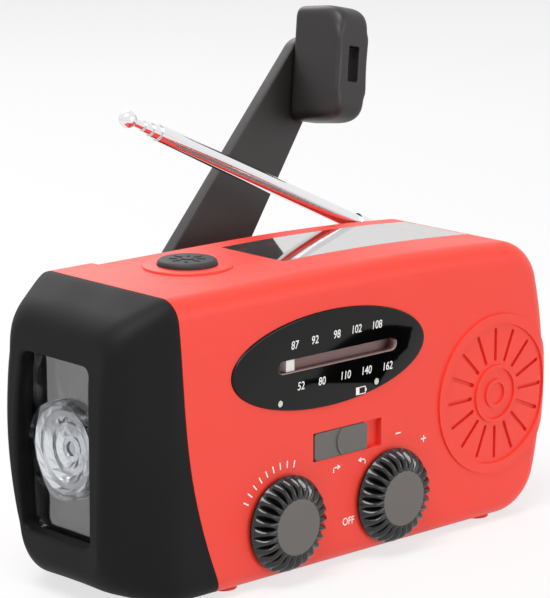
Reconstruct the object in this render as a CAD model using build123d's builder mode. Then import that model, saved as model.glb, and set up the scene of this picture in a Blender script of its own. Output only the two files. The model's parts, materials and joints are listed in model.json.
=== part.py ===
"""A hand cranked charger with a dial radio and a torch, as separate pieces.

Millimetres.  +X runs along the body towards the loudspeaker end, +Y to the back
where the crank is, +Z up.  The origin is on the ground plane at mid length and
mid depth.  At rest the crank is raised and leans away from the back, and the
antenna stands up 25 degrees out of its groove, as in the photograph.
"""
from build123d import *
import os
from math import cos, pi, radians, sin, tan

# --- driving dimensions -------------------------------------------------------
# case
half_length = 64.0          # end face of the boot and the far end of the case
half_depth = 22.5           # front and back faces
case_bottom = 0.9           # height of the moulded feet
case_top = 66.5
top_drop = 2.6              # how far the top falls towards the loudspeaker end
side_bulge = 5.6            # how far the loudspeaker end bows out
corner_round = 12.0         # corners at the loudspeaker end, seen from the front
edge_round = 4.5            # front and back rims of the case
wall = 2.0
parting = 0.0               # where the front and rear halves meet
seam = [(-50.0, 70.0), (-48.4, 58.0), (-47.2, 42.0), (-45.4, 28.0), (-42.0, 14.5), (-35.6, -2.0)]
spigot_inset = 3.3
spigot_wall = 1.5
spigot_reach = 3.0
spigot_root = 4.0
spigot_gap = 0.1
foot_radius = 3.0
foot_x = (-31.0, half_length - 17.0)
foot_y = 15.5
# clearances
slide_gap = 0.15            # between a moving piece and the opening around it
seat_gap = 0.1              # between a fixed piece and its recess
run_gap = 0.05              # between a shaft and its bore
face_gap = 0.3              # between a turning piece and the face behind it
# lamp boot
taper_start = -50.2
end_half_top = 14.6
end_half_mid = 16.4
end_half_low = 12.6
end_low = 4.6
end_high = 60.6
end_corner = 5.0
lamp_y = 1.0
lamp_low = 13.5
lamp_high = 52.5
lamp_half = 11.2
lamp_bow = 0.9
lamp_ledge = 0.7            # how far the pane reaches behind the frame
lamp_recess = 5.8
pane_thick = 1.2
tunnel_wall = 1.8
lens_radius = 10.6
lens_barrel = 3.3           # the lens stands through the pane
lens_rise = 1.6
bowl_depth = 6.0
bowl_neck = 4.2
led_radius = 2.5
lens_z = 32.5
lens_step = 0.3             # how far the lens laps over the mouth of the bowl
reflector_skin = 0.8
led_board_half = 9.0
# dial
dial_x = -6.2
dial_z = 47.6
dial_half_width = 28.4
dial_half_height = 10.5
dial_proud = 0.4
dial_seat = 1.2
slot_x = -4.0
slot_length = 35.3
slot_height = 3.1
pointer_width = 2.4
pointer_block = 1.15
dial_plate_y = -19.3
dial_plate_z = (44.9, 50.5)
pointer_rest = -17.3
lamp_hole = 0.8
tuning_lamp_x = -20.9
charge_lamp_x = 7.6
lamp_row_z = 40.0
# knobs
tuning_x = -19.4
volume_x = 12.3
knob_z = 13.4
knob_radius = 10.6
knob_rim_radius = 9.6
knob_face_radius = 6.8
knob_height = 4.4
knob_ribs = 26
knob_groove = 0.75
knob_skirt = 0.7
shaft_radius = 2.0
drum_radius = 9.3           # to the middle of the dial cord
drum_lip = 0.7
drum_cheek = 0.6
cord_radius = 0.35
# band switch
band_x = -0.85
band_z = 28.4
band_width = 20.5
band_height = 6.3
band_depth = 1.5
band_cap_width = 15.7
band_travel = 2.0
band_pad = 1.5              # thickening behind the band switch recess
pad_rim = 1.4
stem_width = 4.0
stem_height = 2.4
stem_depth = 1.8
ridge_half = 1.5            # finger ridge on the cap, half its width
ridge_rise = 0.4
cap_rise = 0.2
switch_x = (-8.0, 10.0)     # body of the switch, from its stem
switch_half = 3.5
# loudspeaker
speaker_x = half_length - 18.4
speaker_z = 30.6
grille_radius = 18.4
grille_ring = 2.2
grille_raise = 0.5
grille_slots = 16
grille_slit = 0.9
grille_inner = 7.5
grille_outer = 15.2
grille_circles = (6.6, 3.3)  # raised rings at the middle
circle_width = 0.7
speaker_radius = 14.0
basket_depth = 7.5
cone_depth = 4.5
magnet_radius = 8.0
magnet_thick = 5.0
# torch button
button_x = -25.2
button_y = 2.0
button_radius = 6.5
button_rise = 1.7
button_travel = 1.0
collar_radius = 9.8
collar_rise = 0.5
# solar window
solar_left = -6.5
solar_right = half_length - 13.0
solar_front = -8.0
solar_back = 12.0
solar_thick = 1.2
cell_thick = 1.0
solar_rim = 1.5             # ledge that the window and the cell rest on
solar_drop = 5.4            # from the top of the case down to the cell
# antenna
groove_left = half_length - 102.0
groove_y = 16.5
groove_z = 58.0
antenna_y = 19.2
antenna_z = 60.6
antenna_x = half_length - 14.0
antenna_tilt = 25.0
pivot_radius = 1.25
pivot_boss = 2.6
pivot_boss_y = 10.5
tube_radii = (2.0, 1.65, 1.3, 0.95)
tube_wall = 0.3
tube_start = 3.2            # from the pivot to the foot of the outer tube
base_end = 75.7
tip_reach = 85.0
eye_radius = 2.6
eye_half = 1.9
screw_head = 2.4
tube_step = 2.3
tip_radius = 2.0
# crank
crank_x = -12.6
crank_z = 41.0
hinge_y = 28.0
crank_angle = 45.6
crank_lean = 8.5
crank_reach = 82.2
arm_root_width = 24.0
arm_tip_width = 13.2
arm_thick = 3.2
arm_edge = 0.6
hinge_barrel = 3.0
hinge_pin_radius = 1.25
hub_radius = 13.0
hub_disc = 1.8
hub_lug_width = 11.0
crank_shaft_radius = 2.5
knob_pin_radius = 2.0
handle_depth = 13.0
handle_width = 9.6
handle_length = 27.0
handle_turn = 39.0          # long side of the handle against the arm
handle_corner = 6.0
handle_round = 1.2
recess_length = 8.6
recess_width = 4.6
recess_depth = 4.0
rivet_thick = 1.2
# gears
module = 0.6
drive_teeth = 40
idler_pinion_teeth = 10
idler_teeth = 36
rotor_teeth = 9
first_stage_angle = -20.0
second_stage_angle = 0.0
gear_thick = 2.4
tooth_share = 0.42          # of the pitch taken by a tooth
mesh_gap = 0.05
drive_y = 16.0              # middle of the first pair
idler_y = 11.0              # middle of the second pair
idler_axle_radius = 1.0
plate_thick = 1.5
plate_front_y = 6.6         # gearbox plates, front faces
plate_back_y = 18.2
plate_x = (-28.6, 27.6)
plate_z = (22.4, 55.4)
pillar_x = (-26.0, 25.0)
pillar_z = (25.0, 52.8)
pillar_radius = 2.0
gear_screw_radius = 0.8
bush_radius = 4.0
bush_flange = 5.5
generator_radius = 11.5
generator_wall = 3.0
generator_length = 11.0
rotor_shaft_radius = 1.0
# inside
board_back_y = -10.0
board_thick = 1.6
board_x = (-34.5, 30.0)
board_z = (4.5, 58.5)
board_post_x = (-30.8, 27.0)
board_post_z = (7.5, 55.5)
board_post_radius = 2.2
small_screw_radius = 0.8
case_posts = ((-36.4, 9.0), (-38.5, 52.0), (half_length - 8.0, 15.0), (half_length - 9.0, 51.0))
post_radius = 3.4
case_screw_radius = 1.15
case_head_radius = 2.2
case_head_y = 17.0
case_head_thick = 1.6
small_head_radius = 1.6
small_head_thick = 1.0
case_screw_end = -9.0
board_screw_end = -17.0
lug_half = 1.6
body_depth = 5.0            # tuning capacitor and volume control
capacitor_width = 18.0
control_width = 16.0
guide_radius = 1.5          # posts that the dial cord runs round
cord_y = -18.3
cord_top = 41.5
cord_right = 21.4
rail_radius = 0.8
rail_y = -16.0
rail_z = 43.2
rail_x = (-31.8, 24.1)
battery_radius = 7.0
battery_x = (half_length - 58.0, half_length - 15.0)
battery_y = -1.0
tray_floor = 1.5
holder_end = 1.6
rod_radius = 3.5
rod_y = -1.5
rod_z = 55.2
rod_x = (-14.0, 34.0)
clip_width = 2.0
coil_radius = 4.8
coil_x = (8.0, 22.0)
switch_width = 7.0
switch_z = (51.5, 58.0)
plunger_radius = 1.2
plunger_depth = 1.5
button_flange = 1.4
port_x = -15.0
port_z = 12.5
port_width = 34.0
port_height = 13.0
flap_thick = 1.4
nub_radius = 0.45
nub_length = 1.2
usb_x = -7.5
usb_width = 12.4
usb_height = 5.0
charge_x = -25.0
charge_width = 7.6
charge_height = 2.8
socket_front = 8.0
socket_skin = 0.5
port_board_top = 10.0
port_board_x = (-15.5, 16.0)    # from the middle of the cover
port_board_front = 6.0
port_legs = (-12.5, 0.5, 14.0)  # ribs under the board, from the middle of the cover
port_leg_half = 1.5
port_leg_y = (12.0, 16.0)

# what follows from them
case_mid_z = (case_bottom + case_top) / 2
inner_y = half_depth - wall
bore_radius = shaft_radius + run_gap
solar_shelf = case_top - solar_drop
front_y = -half_depth
post_root = -half_depth + 0.75 * wall
board_front_y = board_back_y - board_thick
slot_ends = (slot_x - slot_length / 2, slot_x + slot_length / 2)
guide_offset = guide_radius + cord_radius
cord_left = tuning_x - drum_radius
cord_low = knob_z - drum_radius
guides = (
    (cord_left + guide_offset, cord_top - guide_offset),
    (cord_right - guide_offset, cord_top - guide_offset),
    (cord_right - guide_offset, cord_low + guide_offset),
)
lamps = ((tuning_lamp_x, lamp_row_z), (charge_lamp_x, lamp_row_z))
band_floor = front_y + band_depth
band_left = band_x - band_width / 2
band_ends = (band_left, band_left + band_width)
band_rows = (band_z - band_height / 2, band_z + band_height / 2)
stem_x = band_left + 2 * slide_gap + band_cap_width / 2
rod_clips = (rod_x[0] + 2.0, rod_x[1] - 2.0)
back_y = half_depth
port_floor = back_y - flap_thick - seat_gap
port_sides = (port_x - port_width / 2 - slide_gap, port_x + port_width / 2 + slide_gap)
port_rows = (port_z - port_height / 2 - slide_gap, port_z + port_height / 2 + slide_gap)
flap_axis_z = port_z - port_height / 2 + flap_thick / 2
flap_axis_y = back_y - flap_thick / 2
charge_z = port_board_top + charge_height / 2
plate_back_face = plate_back_y + plate_thick
screw_deep = back_y - 1.0   # deepest end of the gearbox screws
tunnel_end = -half_length + lamp_recess
pane_front = tunnel_end - pane_thick
everywhere = (-200.0, 200.0)
groove = (groove_left, 200.0), (groove_y, 200.0), (groove_z, 200.0)
groove_skin = (groove_left - wall, 200.0), (groove_y - wall, 200.0), (groove_z - wall, 200.0)
os.makedirs("parts", exist_ok=True)


def at_y(y):
    """Sketch plane parallel to the front face at depth y: (x, z), pulled forward."""
    return Plane.XZ.offset(-y)


def save(builder, label):
    builder.part.label = label
    export_step(builder.part, f"parts/{label}.step")


# --- the outer form -----------------------------------------------------------
def case_face(inset, y):
    """The case seen from the front: flat top that falls away, bowed end."""
    shoulder = half_length - side_bulge
    with BuildSketch(at_y(y)) as face:
        with BuildLine():
            Line((-half_length, case_bottom), (shoulder, case_bottom))
            ThreePointArc((shoulder, case_bottom), (half_length, case_mid_z), (shoulder, case_top - top_drop))
            TangentArc((0, case_top), (shoulder, case_top - top_drop), tangent=(1, 0))
            Line((0, case_top), (-half_length, case_top))
            Line((-half_length, case_top), (-half_length, case_bottom))
        make_face()
        if inset:
            offset(amount=-inset, kind=Kind.INTERSECTION)
        fillet(face.vertices().group_by(Axis.X)[-1], corner_round - inset)
    return face.sketch


def case_block(inset):
    """The whole case as one rounded block, shrunk by inset on every side."""
    with BuildPart() as block:
        extrude(case_face(inset, half_depth - inset), amount=2 * (half_depth - inset))
        rims = block.faces().sort_by(Axis.Y)[0].edges() + block.faces().sort_by(Axis.Y)[-1].edges()
        fillet(rims, max(edge_round - inset, 0.8))
    return block.part


def left_of_seam(shift):
    """Everything on the boot's side of the S-shaped seam, moved along X."""
    points = [(x + shift, z) for x, z in seam]
    with BuildPart() as region:
        with BuildSketch(at_y(half_depth + 2)):
            with BuildLine():
                Spline(*points)
                far = -half_length - 9
                Polyline(points[-1], (far, points[-1][1]), (far, points[0][1]), points[0])
            make_face()
        extrude(amount=2 * (half_depth + 2))
    return region.part


def lamp_face(grow, x):
    """The torch opening, a tall rounded frame with bowed sides."""
    half = lamp_half + grow
    low, high = lamp_low - grow, lamp_high + grow
    with BuildSketch(Plane.YZ.offset(x)) as face:
        with Locations((lamp_y, 0)):
            with BuildLine():
                Line((-half, high), (half, high))
                ThreePointArc((half, high), (half + lamp_bow, (low + high) / 2), (half, low))
                Line((half, low), (-half, low))
                ThreePointArc((-half, low), (-half - lamp_bow, (low + high) / 2), (-half, high))
            make_face()
        fillet(face.vertices(), 2.5 + grow)
    return face.sketch


def boot_taper(inset):
    """The boot's end, drawn in from the case section to the smaller end face."""
    rim = max(edge_round - inset, 0.8)
    with BuildPart() as taper:
        with BuildSketch(Plane.YZ.offset(taper_start)):
            with Locations((0, case_mid_z)):
                RectangleRounded(2 * (half_depth - inset), case_top - case_bottom - 2 * inset, rim)
        with BuildSketch(Plane.YZ.offset(-half_length + inset)) as end:
            middle = (end_low + end_high) / 2
            with BuildLine():
                Line((-end_half_top, end_high), (end_half_top, end_high))
                ThreePointArc((end_half_top, end_high), (end_half_mid, middle), (end_half_low, end_low))
                Line((end_half_low, end_low), (-end_half_low, end_low))
                ThreePointArc((-end_half_low, end_low), (-end_half_mid, middle), (-end_half_top, end_high))
            make_face()
            fillet(end.vertices(), end_corner)
            if inset:
                offset(amount=-inset)
        loft(ruled=True)
    return taper.part


def span_box(x, y, z, mode=Mode.ADD):
    """A box between (low, high) pairs, put into the block that is open."""
    with Locations(((x[0] + x[1]) / 2, (y[0] + y[1]) / 2, (z[0] + z[1]) / 2)):
        Box(x[1] - x[0], y[1] - y[0], z[1] - z[0], mode=mode)


def peg(x, z, radius, y, mode=Mode.ADD):
    """A round peg or hole along Y between y[0] and y[1], in the open block."""
    with Locations(Location((x, (y[0] + y[1]) / 2, z), (90, 0, 0))):
        Cylinder(radius, y[1] - y[0], mode=mode)


def bar(x, y, z, radius, mode=Mode.ADD):
    """A round bar or hole along X between x[0] and x[1], in the open block."""
    with Locations(Location(((x[0] + x[1]) / 2, y, z), (0, 90, 0))):
        Cylinder(radius, x[1] - x[0], mode=mode)


def post(x, y, z, radius, mode=Mode.ADD):
    """A round post or hole along Z between z[0] and z[1], in the open block."""
    with Locations((x, y, (z[0] + z[1]) / 2)):
        Cylinder(radius, z[1] - z[0], mode=mode)


def solar_layer(depth, grow):
    """A slab under the arched top, as wide and deep as the solar window."""
    with BuildPart() as layer:
        x, y = (solar_left - grow, solar_right + grow), (solar_front - grow, solar_back + grow)
        span_box(x, y, (case_top - 8, case_top + 1))
        add(case_block(0), mode=Mode.INTERSECT)
        add(case_block(0).moved(Location((0, 0, -depth))), mode=Mode.SUBTRACT)
    return layer.part


# --- both case halves before they are parted ----------------------------------
with BuildPart() as hollow:
    add(case_block(wall))
    span_box(*groove_skin, mode=Mode.SUBTRACT)

with BuildPart() as spigot:
    add(case_block(spigot_inset))
    add(left_of_seam(spigot_root), mode=Mode.INTERSECT)
    add(left_of_seam(-spigot_reach), mode=Mode.SUBTRACT)

with BuildPart() as spigot_seat:
    add(case_block(wall / 2))
    add(left_of_seam(spigot_root), mode=Mode.INTERSECT)
    add(left_of_seam(0), mode=Mode.SUBTRACT)

with BuildPart() as solar_frame:
    x, y = (solar_left - 0.5, solar_right + 0.5), (solar_front - 0.5, solar_back + 0.5)
    span_box(x, y, (solar_shelf - 1.0, case_top))
    add(case_block(wall / 2), mode=Mode.INTERSECT)

with BuildPart() as case_shell:
    add(case_block(0))
    post(button_x, button_y, (case_top - wall, case_top + collar_rise), collar_radius)
    fillet(case_shell.faces().sort_by(Axis.Z)[-1].edges(), collar_rise * 0.8)
    span_box(*groove, mode=Mode.SUBTRACT)
    add(hollow.part, mode=Mode.SUBTRACT)
    add(solar_frame.part)
    add(left_of_seam(0), mode=Mode.SUBTRACT)
    add(spigot_seat.part)
    add(spigot.part)
    add(case_block(spigot_inset + spigot_wall) & left_of_seam(spigot_root), mode=Mode.SUBTRACT)
    post(button_x, button_y, (case_top - 3 * wall, case_top + 5), button_radius + slide_gap, Mode.SUBTRACT)
    add(solar_layer(solar_thick, seat_gap), mode=Mode.SUBTRACT)
    x = (solar_left + solar_rim, solar_right - solar_rim)
    y = (solar_front + solar_rim, solar_back - solar_rim)
    span_box(x, y, (solar_shelf, case_top + 1), Mode.SUBTRACT)
    x, y = (x[0] + solar_rim, x[1] - solar_rim), (y[0] + solar_rim, y[1] - solar_rim)
    span_box(x, y, (solar_shelf - 2, case_top + 1), Mode.SUBTRACT)
    for foot in foot_x:
        post(foot, foot_y, (0, case_bottom + wall / 2), foot_radius)
        post(foot, -foot_y, (0, case_bottom + wall / 2), foot_radius)

# --- front case ----------------------------------------------------------------
def cut_pointer_slot():
    """Cuts the round-ended slot that the pointer runs in through the open block."""
    with BuildSketch(at_y(-inner_y + 1)) as opening:
        with Locations((slot_x, dial_z)):
            SlotOverall(slot_length, slot_height)
    extrude(opening.sketch, amount=2 * wall, mode=Mode.SUBTRACT)


with BuildPart() as grille_rings:
    add(case_block(-grille_raise))
    peg(speaker_x, speaker_z, grille_radius, (front_y - 2, front_y + 2 * wall), Mode.INTERSECT)
    peg(speaker_x, speaker_z, grille_radius - grille_ring, (front_y - 3, 0), Mode.SUBTRACT)
    add(case_block(wall), mode=Mode.SUBTRACT)

with BuildPart() as front_case:
    add(case_shell.part)
    split(bisect_by=Plane.XZ.offset(-parting), keep=Keep.TOP)
    add(grille_rings.part)
    for radius in grille_circles:
        with BuildSketch(at_y(front_y)):
            with Locations((speaker_x, speaker_z)):
                Circle(radius)
                Circle(radius - circle_width, mode=Mode.SUBTRACT)
        extrude(amount=grille_raise)
    with BuildSketch(at_y(front_y + 2 * wall)):
        with Locations((speaker_x, speaker_z)):
            with PolarLocations((grille_inner + grille_outer) / 2, grille_slots):
                SlotOverall(grille_outer - grille_inner, grille_slit)
    extrude(amount=3 * wall, mode=Mode.SUBTRACT)
    # dial window seat, pointer slot, lamp holes
    with BuildSketch(at_y(front_y + dial_seat)):
        with Locations((dial_x, dial_z)):
            Ellipse(dial_half_width + seat_gap, dial_half_height + seat_gap)
    extrude(amount=2 * dial_seat, mode=Mode.SUBTRACT)
    cut_pointer_slot()
    for x, z in lamps:
        peg(x, z, lamp_hole, (front_y - 1, -inner_y + 1), Mode.SUBTRACT)
    # band switch recess with its thicker floor
    span_box((band_ends[0] - pad_rim, band_ends[1] + pad_rim), (-inner_y - 0.5, -inner_y + band_pad),
             (band_rows[0] - pad_rim, band_rows[1] + pad_rim))
    span_box(band_ends, (front_y - 1, band_floor), band_rows, Mode.SUBTRACT)
    span_box((stem_x - stem_width / 2 - slide_gap, stem_x + stem_width / 2 + band_travel + slide_gap),
             (front_y, -inner_y + band_pad + 1),
             (band_z - stem_height / 2 - slide_gap, band_z + stem_height / 2 + slide_gap), Mode.SUBTRACT)
    # posts
    for x, z in case_posts:
        peg(x, z, post_radius, (post_root, parting))
        peg(x, z, case_screw_radius, (case_screw_end, parting + 1), Mode.SUBTRACT)
    for x in board_post_x:
        for z in board_post_z:
            peg(x, z, board_post_radius, (post_root, board_front_y))
            peg(x, z, small_screw_radius, (board_screw_end, board_front_y + 1), Mode.SUBTRACT)
    for x, z in guides:
        peg(x, z, guide_radius, (post_root, cord_y + 2 * cord_radius))
    for x in rail_x:
        span_box((x - lug_half, x + lug_half), (post_root, rail_y + lug_half),
                 (rail_z - lug_half, rail_z + lug_half))
    bar(rail_x, rail_y, rail_z, rail_radius, Mode.SUBTRACT)
    for x, top in zip(rod_clips, (case_top - wall / 2, solar_shelf - 2 * seat_gap)):
        span_box((x - clip_width / 2, x + clip_width / 2),
                 (rod_y - rod_radius - clip_width, parting - seat_gap), (rod_z - rod_radius / 2, top))
    bar(rod_x, rod_y, rod_z, rod_radius, Mode.SUBTRACT)
    for x in (tuning_x, volume_x):
        peg(x, knob_z, bore_radius, (front_y - 1, -inner_y + 1), Mode.SUBTRACT)
save(front_case, "front_case")

# --- rear case -----------------------------------------------------------------
with BuildPart() as rear_case:
    add(case_shell.part)
    split(bisect_by=Plane.XZ.offset(-parting), keep=Keep.BOTTOM)
    for x, z in case_posts:
        peg(x, z, post_radius, (parting, back_y - wall / 2))
        peg(x, z, case_screw_radius + run_gap, (parting - 1, back_y + 1), Mode.SUBTRACT)
        peg(x, z, case_head_radius + slide_gap, (case_head_y, back_y + 1), Mode.SUBTRACT)
    for x in pillar_x:
        for z in pillar_z:
            peg(x, z, pillar_radius + 1, (plate_back_face, back_y - wall / 2))
            peg(x, z, gear_screw_radius, (plate_back_face - 1, screw_deep), Mode.SUBTRACT)
    peg(crank_x, crank_z, bush_radius, (0, back_y + 1), Mode.SUBTRACT)
    # socket openings under the rubber cover
    span_box((port_sides[0] - pad_rim, port_sides[1] + pad_rim), (inner_y - flap_thick, inner_y + 0.5),
             (port_rows[0] - pad_rim, port_rows[1] + pad_rim))
    span_box(port_sides, (port_floor, back_y + 1), port_rows, Mode.SUBTRACT)
    bar((port_sides[0] - nub_length, port_sides[1] + nub_length), flap_axis_y, flap_axis_z,
        nub_radius + run_gap, Mode.SUBTRACT)
    for x, z, width, height in ((usb_x, port_board_top + usb_height / 2, usb_width, usb_height),
                                (charge_x, charge_z, charge_width, charge_height)):
        span_box((x - width / 2 - seat_gap, x + width / 2 + seat_gap), (inner_y - 5, back_y + 1),
                 (z - height / 2 - seat_gap, z + height / 2 + seat_gap), Mode.SUBTRACT)
    for leg in port_legs:
        span_box((port_x + leg - port_leg_half, port_x + leg + port_leg_half), port_leg_y,
                 (case_bottom + wall / 2, port_board_top - board_thick))
    # antenna pivot
    peg(antenna_x, antenna_z, pivot_boss, (pivot_boss_y, groove_y - wall / 2))
    peg(antenna_x, antenna_z, pivot_radius, (pivot_boss_y + 1, groove_y + 1), Mode.SUBTRACT)
save(rear_case, "rear_case")

# --- end boot with the torch ---------------------------------------------------
with BuildPart() as boot_cavity:
    add(case_block(wall))
    add(left_of_seam(-spigot_reach - seat_gap), mode=Mode.INTERSECT)
    add(case_block(spigot_inset - spigot_gap) & left_of_seam(1))
    span_box((-200, taper_start), everywhere, everywhere, Mode.SUBTRACT)
    add(boot_taper(wall))

with BuildPart() as end_boot:
    add(case_block(0))
    add(left_of_seam(0), mode=Mode.INTERSECT)
    span_box((-200, taper_start), everywhere, everywhere, Mode.SUBTRACT)
    add(boot_taper(0))
    fillet(end_boot.faces().sort_by(Axis.X)[0].edges(), 1.2)
    add(boot_cavity.part, mode=Mode.SUBTRACT)
    extrude(lamp_face(tunnel_wall, tunnel_end), amount=-(lamp_recess - wall / 2))
    extrude(lamp_face(0, tunnel_end + 1), amount=-lamp_recess - 2, mode=Mode.SUBTRACT)
    extrude(lamp_face(lamp_ledge + seat_gap, pane_front), amount=2 * pane_thick, mode=Mode.SUBTRACT)
save(end_boot, "end_boot")

with BuildPart() as torch_window:
    extrude(lamp_face(lamp_ledge, pane_front), amount=pane_thick)
    bar((pane_front - 1, tunnel_end + 1), lamp_y, lens_z, lens_radius + seat_gap, Mode.SUBTRACT)
save(torch_window, "torch_window")

with BuildPart() as torch_reflector:
    extrude(lamp_face(tunnel_wall, tunnel_end), amount=reflector_skin)
    with BuildSketch(Plane.XZ.offset(-lamp_y)):
        with BuildLine():
            Polyline((tunnel_end, lens_z + lens_radius), (tunnel_end + bowl_depth, lens_z + bowl_neck),
                     (tunnel_end + bowl_depth, lens_z + bowl_neck + reflector_skin),
                     (tunnel_end, lens_z + lens_radius + reflector_skin), close=True)
        make_face()
    revolve(axis=Axis((0, lamp_y, lens_z), (1, 0, 0)))
    bar((tunnel_end - 1, tunnel_end + reflector_skin), lamp_y, lens_z, lens_radius - lens_step, Mode.SUBTRACT)
save(torch_reflector, "torch_reflector")

with BuildPart() as torch_lens:
    with BuildSketch(Plane.XZ.offset(-lamp_y)):
        with BuildLine():
            rim = tunnel_end - lens_barrel
            Line((tunnel_end, lens_z), (rim - lens_rise, lens_z))
            TangentArc((rim - lens_rise, lens_z), (rim, lens_z + lens_radius), tangent=(0, 1))
            Line((rim, lens_z + lens_radius), (tunnel_end, lens_z + lens_radius))
            Line((tunnel_end, lens_z + lens_radius), (tunnel_end, lens_z))
        make_face()
    revolve(axis=Axis((0, lamp_y, lens_z), (1, 0, 0)))
save(torch_lens, "torch_lens")

led_back = tunnel_end + bowl_depth
with BuildPart() as led_board:
    span_box((led_back, led_back + board_thick), (lamp_y - led_board_half, lamp_y + led_board_half),
             (lens_z - led_board_half, lens_z + led_board_half))
save(led_board, "led_board")

with BuildPart() as torch_led:
    bar((led_back - led_radius, led_back), lamp_y, lens_z, led_radius)
    fillet(torch_led.faces().sort_by(Axis.X)[0].edges(), led_radius * 0.8)
    bar((led_back - 0.8, led_back), lamp_y, lens_z, led_radius + 0.8)
save(torch_led, "torch_led")

# --- torch button and its switch -------------------------------------------------
flange_top = case_top - wall - 2 * slide_gap
plunger_tip = switch_z[1] - plunger_depth
with BuildPart() as torch_button:
    post(button_x, button_y, (flange_top - button_flange, case_top + button_rise), button_radius)
    fillet(torch_button.faces().sort_by(Axis.Z)[-1].edges(), 0.8)
    post(button_x, button_y, (flange_top - button_flange, flange_top), button_radius + 1.3)
    post(button_x, button_y, (plunger_tip, flange_top), plunger_radius)
save(torch_button, "torch_button")

with BuildPart() as torch_switch:
    span_box((button_x - switch_width / 2, button_x + switch_width / 2),
             (board_back_y, button_y + switch_width / 2), switch_z)
    post(button_x, button_y, (plunger_tip - button_travel - 2 * slide_gap, switch_z[1] + 1),
         plunger_radius + slide_gap, Mode.SUBTRACT)
save(torch_switch, "torch_switch")

# --- solar charger ---------------------------------------------------------------
with BuildPart() as solar_window:
    add(solar_layer(solar_thick, 0))
save(solar_window, "solar_window")

with BuildPart() as solar_cell:
    inset = solar_rim + seat_gap
    span_box((solar_left + inset, solar_right - inset), (solar_front + inset, solar_back - inset),
             (solar_shelf, solar_shelf + cell_thick))
save(solar_cell, "solar_cell")

# --- dial ------------------------------------------------------------------------
with BuildPart() as dial_window:
    with BuildSketch(at_y(front_y + dial_seat)):
        with Locations((dial_x, dial_z)):
            Ellipse(dial_half_width, dial_half_height)
    extrude(amount=dial_seat + dial_proud)
    fillet(dial_window.faces().sort_by(Axis.Y)[0].edges(), 0.3)
    cut_pointer_slot()
    for x, z in lamps:
        peg(x, z, lamp_hole, (front_y - 1, 0), Mode.SUBTRACT)
save(dial_window, "dial_window")

plate_reach = (slot_ends[0] - 2.0, slot_ends[1] + 2.0)
with BuildPart() as dial_plate:
    span_box((plate_reach[0] - 2.4, plate_reach[1] + 2.4), (-inner_y, dial_plate_y + 0.8), dial_plate_z)
    span_box(plate_reach, (-inner_y - 1, dial_plate_y), everywhere, Mode.SUBTRACT)
save(dial_plate, "dial_plate")

finger_y = (front_y + 0.6, -inner_y + slide_gap)
stem_y = (-inner_y + slide_gap, dial_plate_y - slide_gap)
with BuildPart() as dial_pointer:
    tall = slot_height / 2 - 2 * slide_gap
    across = (pointer_rest - pointer_width / 2, pointer_rest + pointer_width / 2)
    block_z = (rail_z - pointer_block, rail_z + pointer_block)
    span_box(across, finger_y, (dial_z - tall, dial_z + tall))
    span_box(across, stem_y, (block_z[0], dial_z + tall))
    span_box(across, (stem_y[0], rail_y + lug_half), block_z)
    span_box((pointer_rest - 2, pointer_rest + 2), (rail_y - lug_half, rail_y + lug_half), block_z)
    bar((pointer_rest - 3, pointer_rest + 3), rail_y, rail_z, rail_radius + run_gap, Mode.SUBTRACT)
save(dial_pointer, "dial_pointer")

with BuildPart() as pointer_rail:
    bar(rail_x, rail_y, rail_z, rail_radius)
save(pointer_rail, "pointer_rail")

with BuildPart() as dial_cord:
    with BuildSketch(at_y(cord_y + cord_radius)) as loop:
        with BuildLine():
            left, right, top, low, bend = cord_left, cord_right, cord_top, cord_low, guide_offset
            Line((left, knob_z), (left, top - bend))
            TangentArc((left, top - bend), (left + bend, top), tangent=(0, 1))
            Line((left + bend, top), (right - bend, top))
            TangentArc((right - bend, top), (right, top - bend), tangent=(1, 0))
            Line((right, top - bend), (right, low + bend))
            TangentArc((right, low + bend), (right - bend, low), tangent=(0, -1))
            Line((right - bend, low), (tuning_x, low))
            TangentArc((tuning_x, low), (left, knob_z), tangent=(-1, 0))
        make_face()
        offset(amount=cord_radius, kind=Kind.ARC)
        offset(loop.faces()[0], amount=-2 * cord_radius, kind=Kind.ARC, mode=Mode.SUBTRACT)
    extrude(amount=2 * cord_radius)
save(dial_cord, "dial_cord")


def dial_knob(x):
    """A ribbed cone on a thin skirt with a flat face, turning about Y through x."""
    back = front_y - face_gap
    face = front_y - knob_height
    with BuildPart() as knob:
        with BuildSketch(Plane.XY.offset(knob_z)):
            with BuildLine():
                Polyline((x, back), (x + knob_radius, back), (x + knob_radius, back - knob_skirt),
                         (x + knob_rim_radius, back - knob_skirt - 0.3), (x + knob_face_radius, face),
                         (x, face), close=True)
            make_face()
        revolve(axis=Axis((x, 0, knob_z), (0, 1, 0)))
        places = []
        low, high = (knob_rim_radius + 0.5, back - 0.6), (knob_face_radius + 0.25, face - 0.4)
        for rib in range(knob_ribs):
            turn = 2 * pi * rib / knob_ribs
            start = Vector(x + low[0] * cos(turn), low[1], knob_z + low[0] * sin(turn))
            stop = Vector(x + high[0] * cos(turn), high[1], knob_z + high[0] * sin(turn))
            places.append(Plane(origin=(start + stop) * 0.5, z_dir=stop - start).location)
        with Locations(*places):
            Cylinder(knob_groove, (stop - start).length, mode=Mode.SUBTRACT)
    return knob.part


shaft_tip = front_y - knob_height + 1.6
shaft_end = board_front_y - body_depth + 3.0
with BuildPart() as tuning_knob:
    add(dial_knob(tuning_x))
    peg(tuning_x, knob_z, shaft_radius, (shaft_tip, 0), Mode.SUBTRACT)
save(tuning_knob, "tuning_knob")

with BuildPart() as tuning_shaft:
    peg(tuning_x, knob_z, shaft_radius, (shaft_tip, shaft_end))
save(tuning_shaft, "tuning_shaft")

with BuildPart() as volume_knob:
    add(dial_knob(volume_x))
    peg(volume_x, knob_z, shaft_radius, (shaft_tip, shaft_end))
save(volume_knob, "volume_knob")

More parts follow.
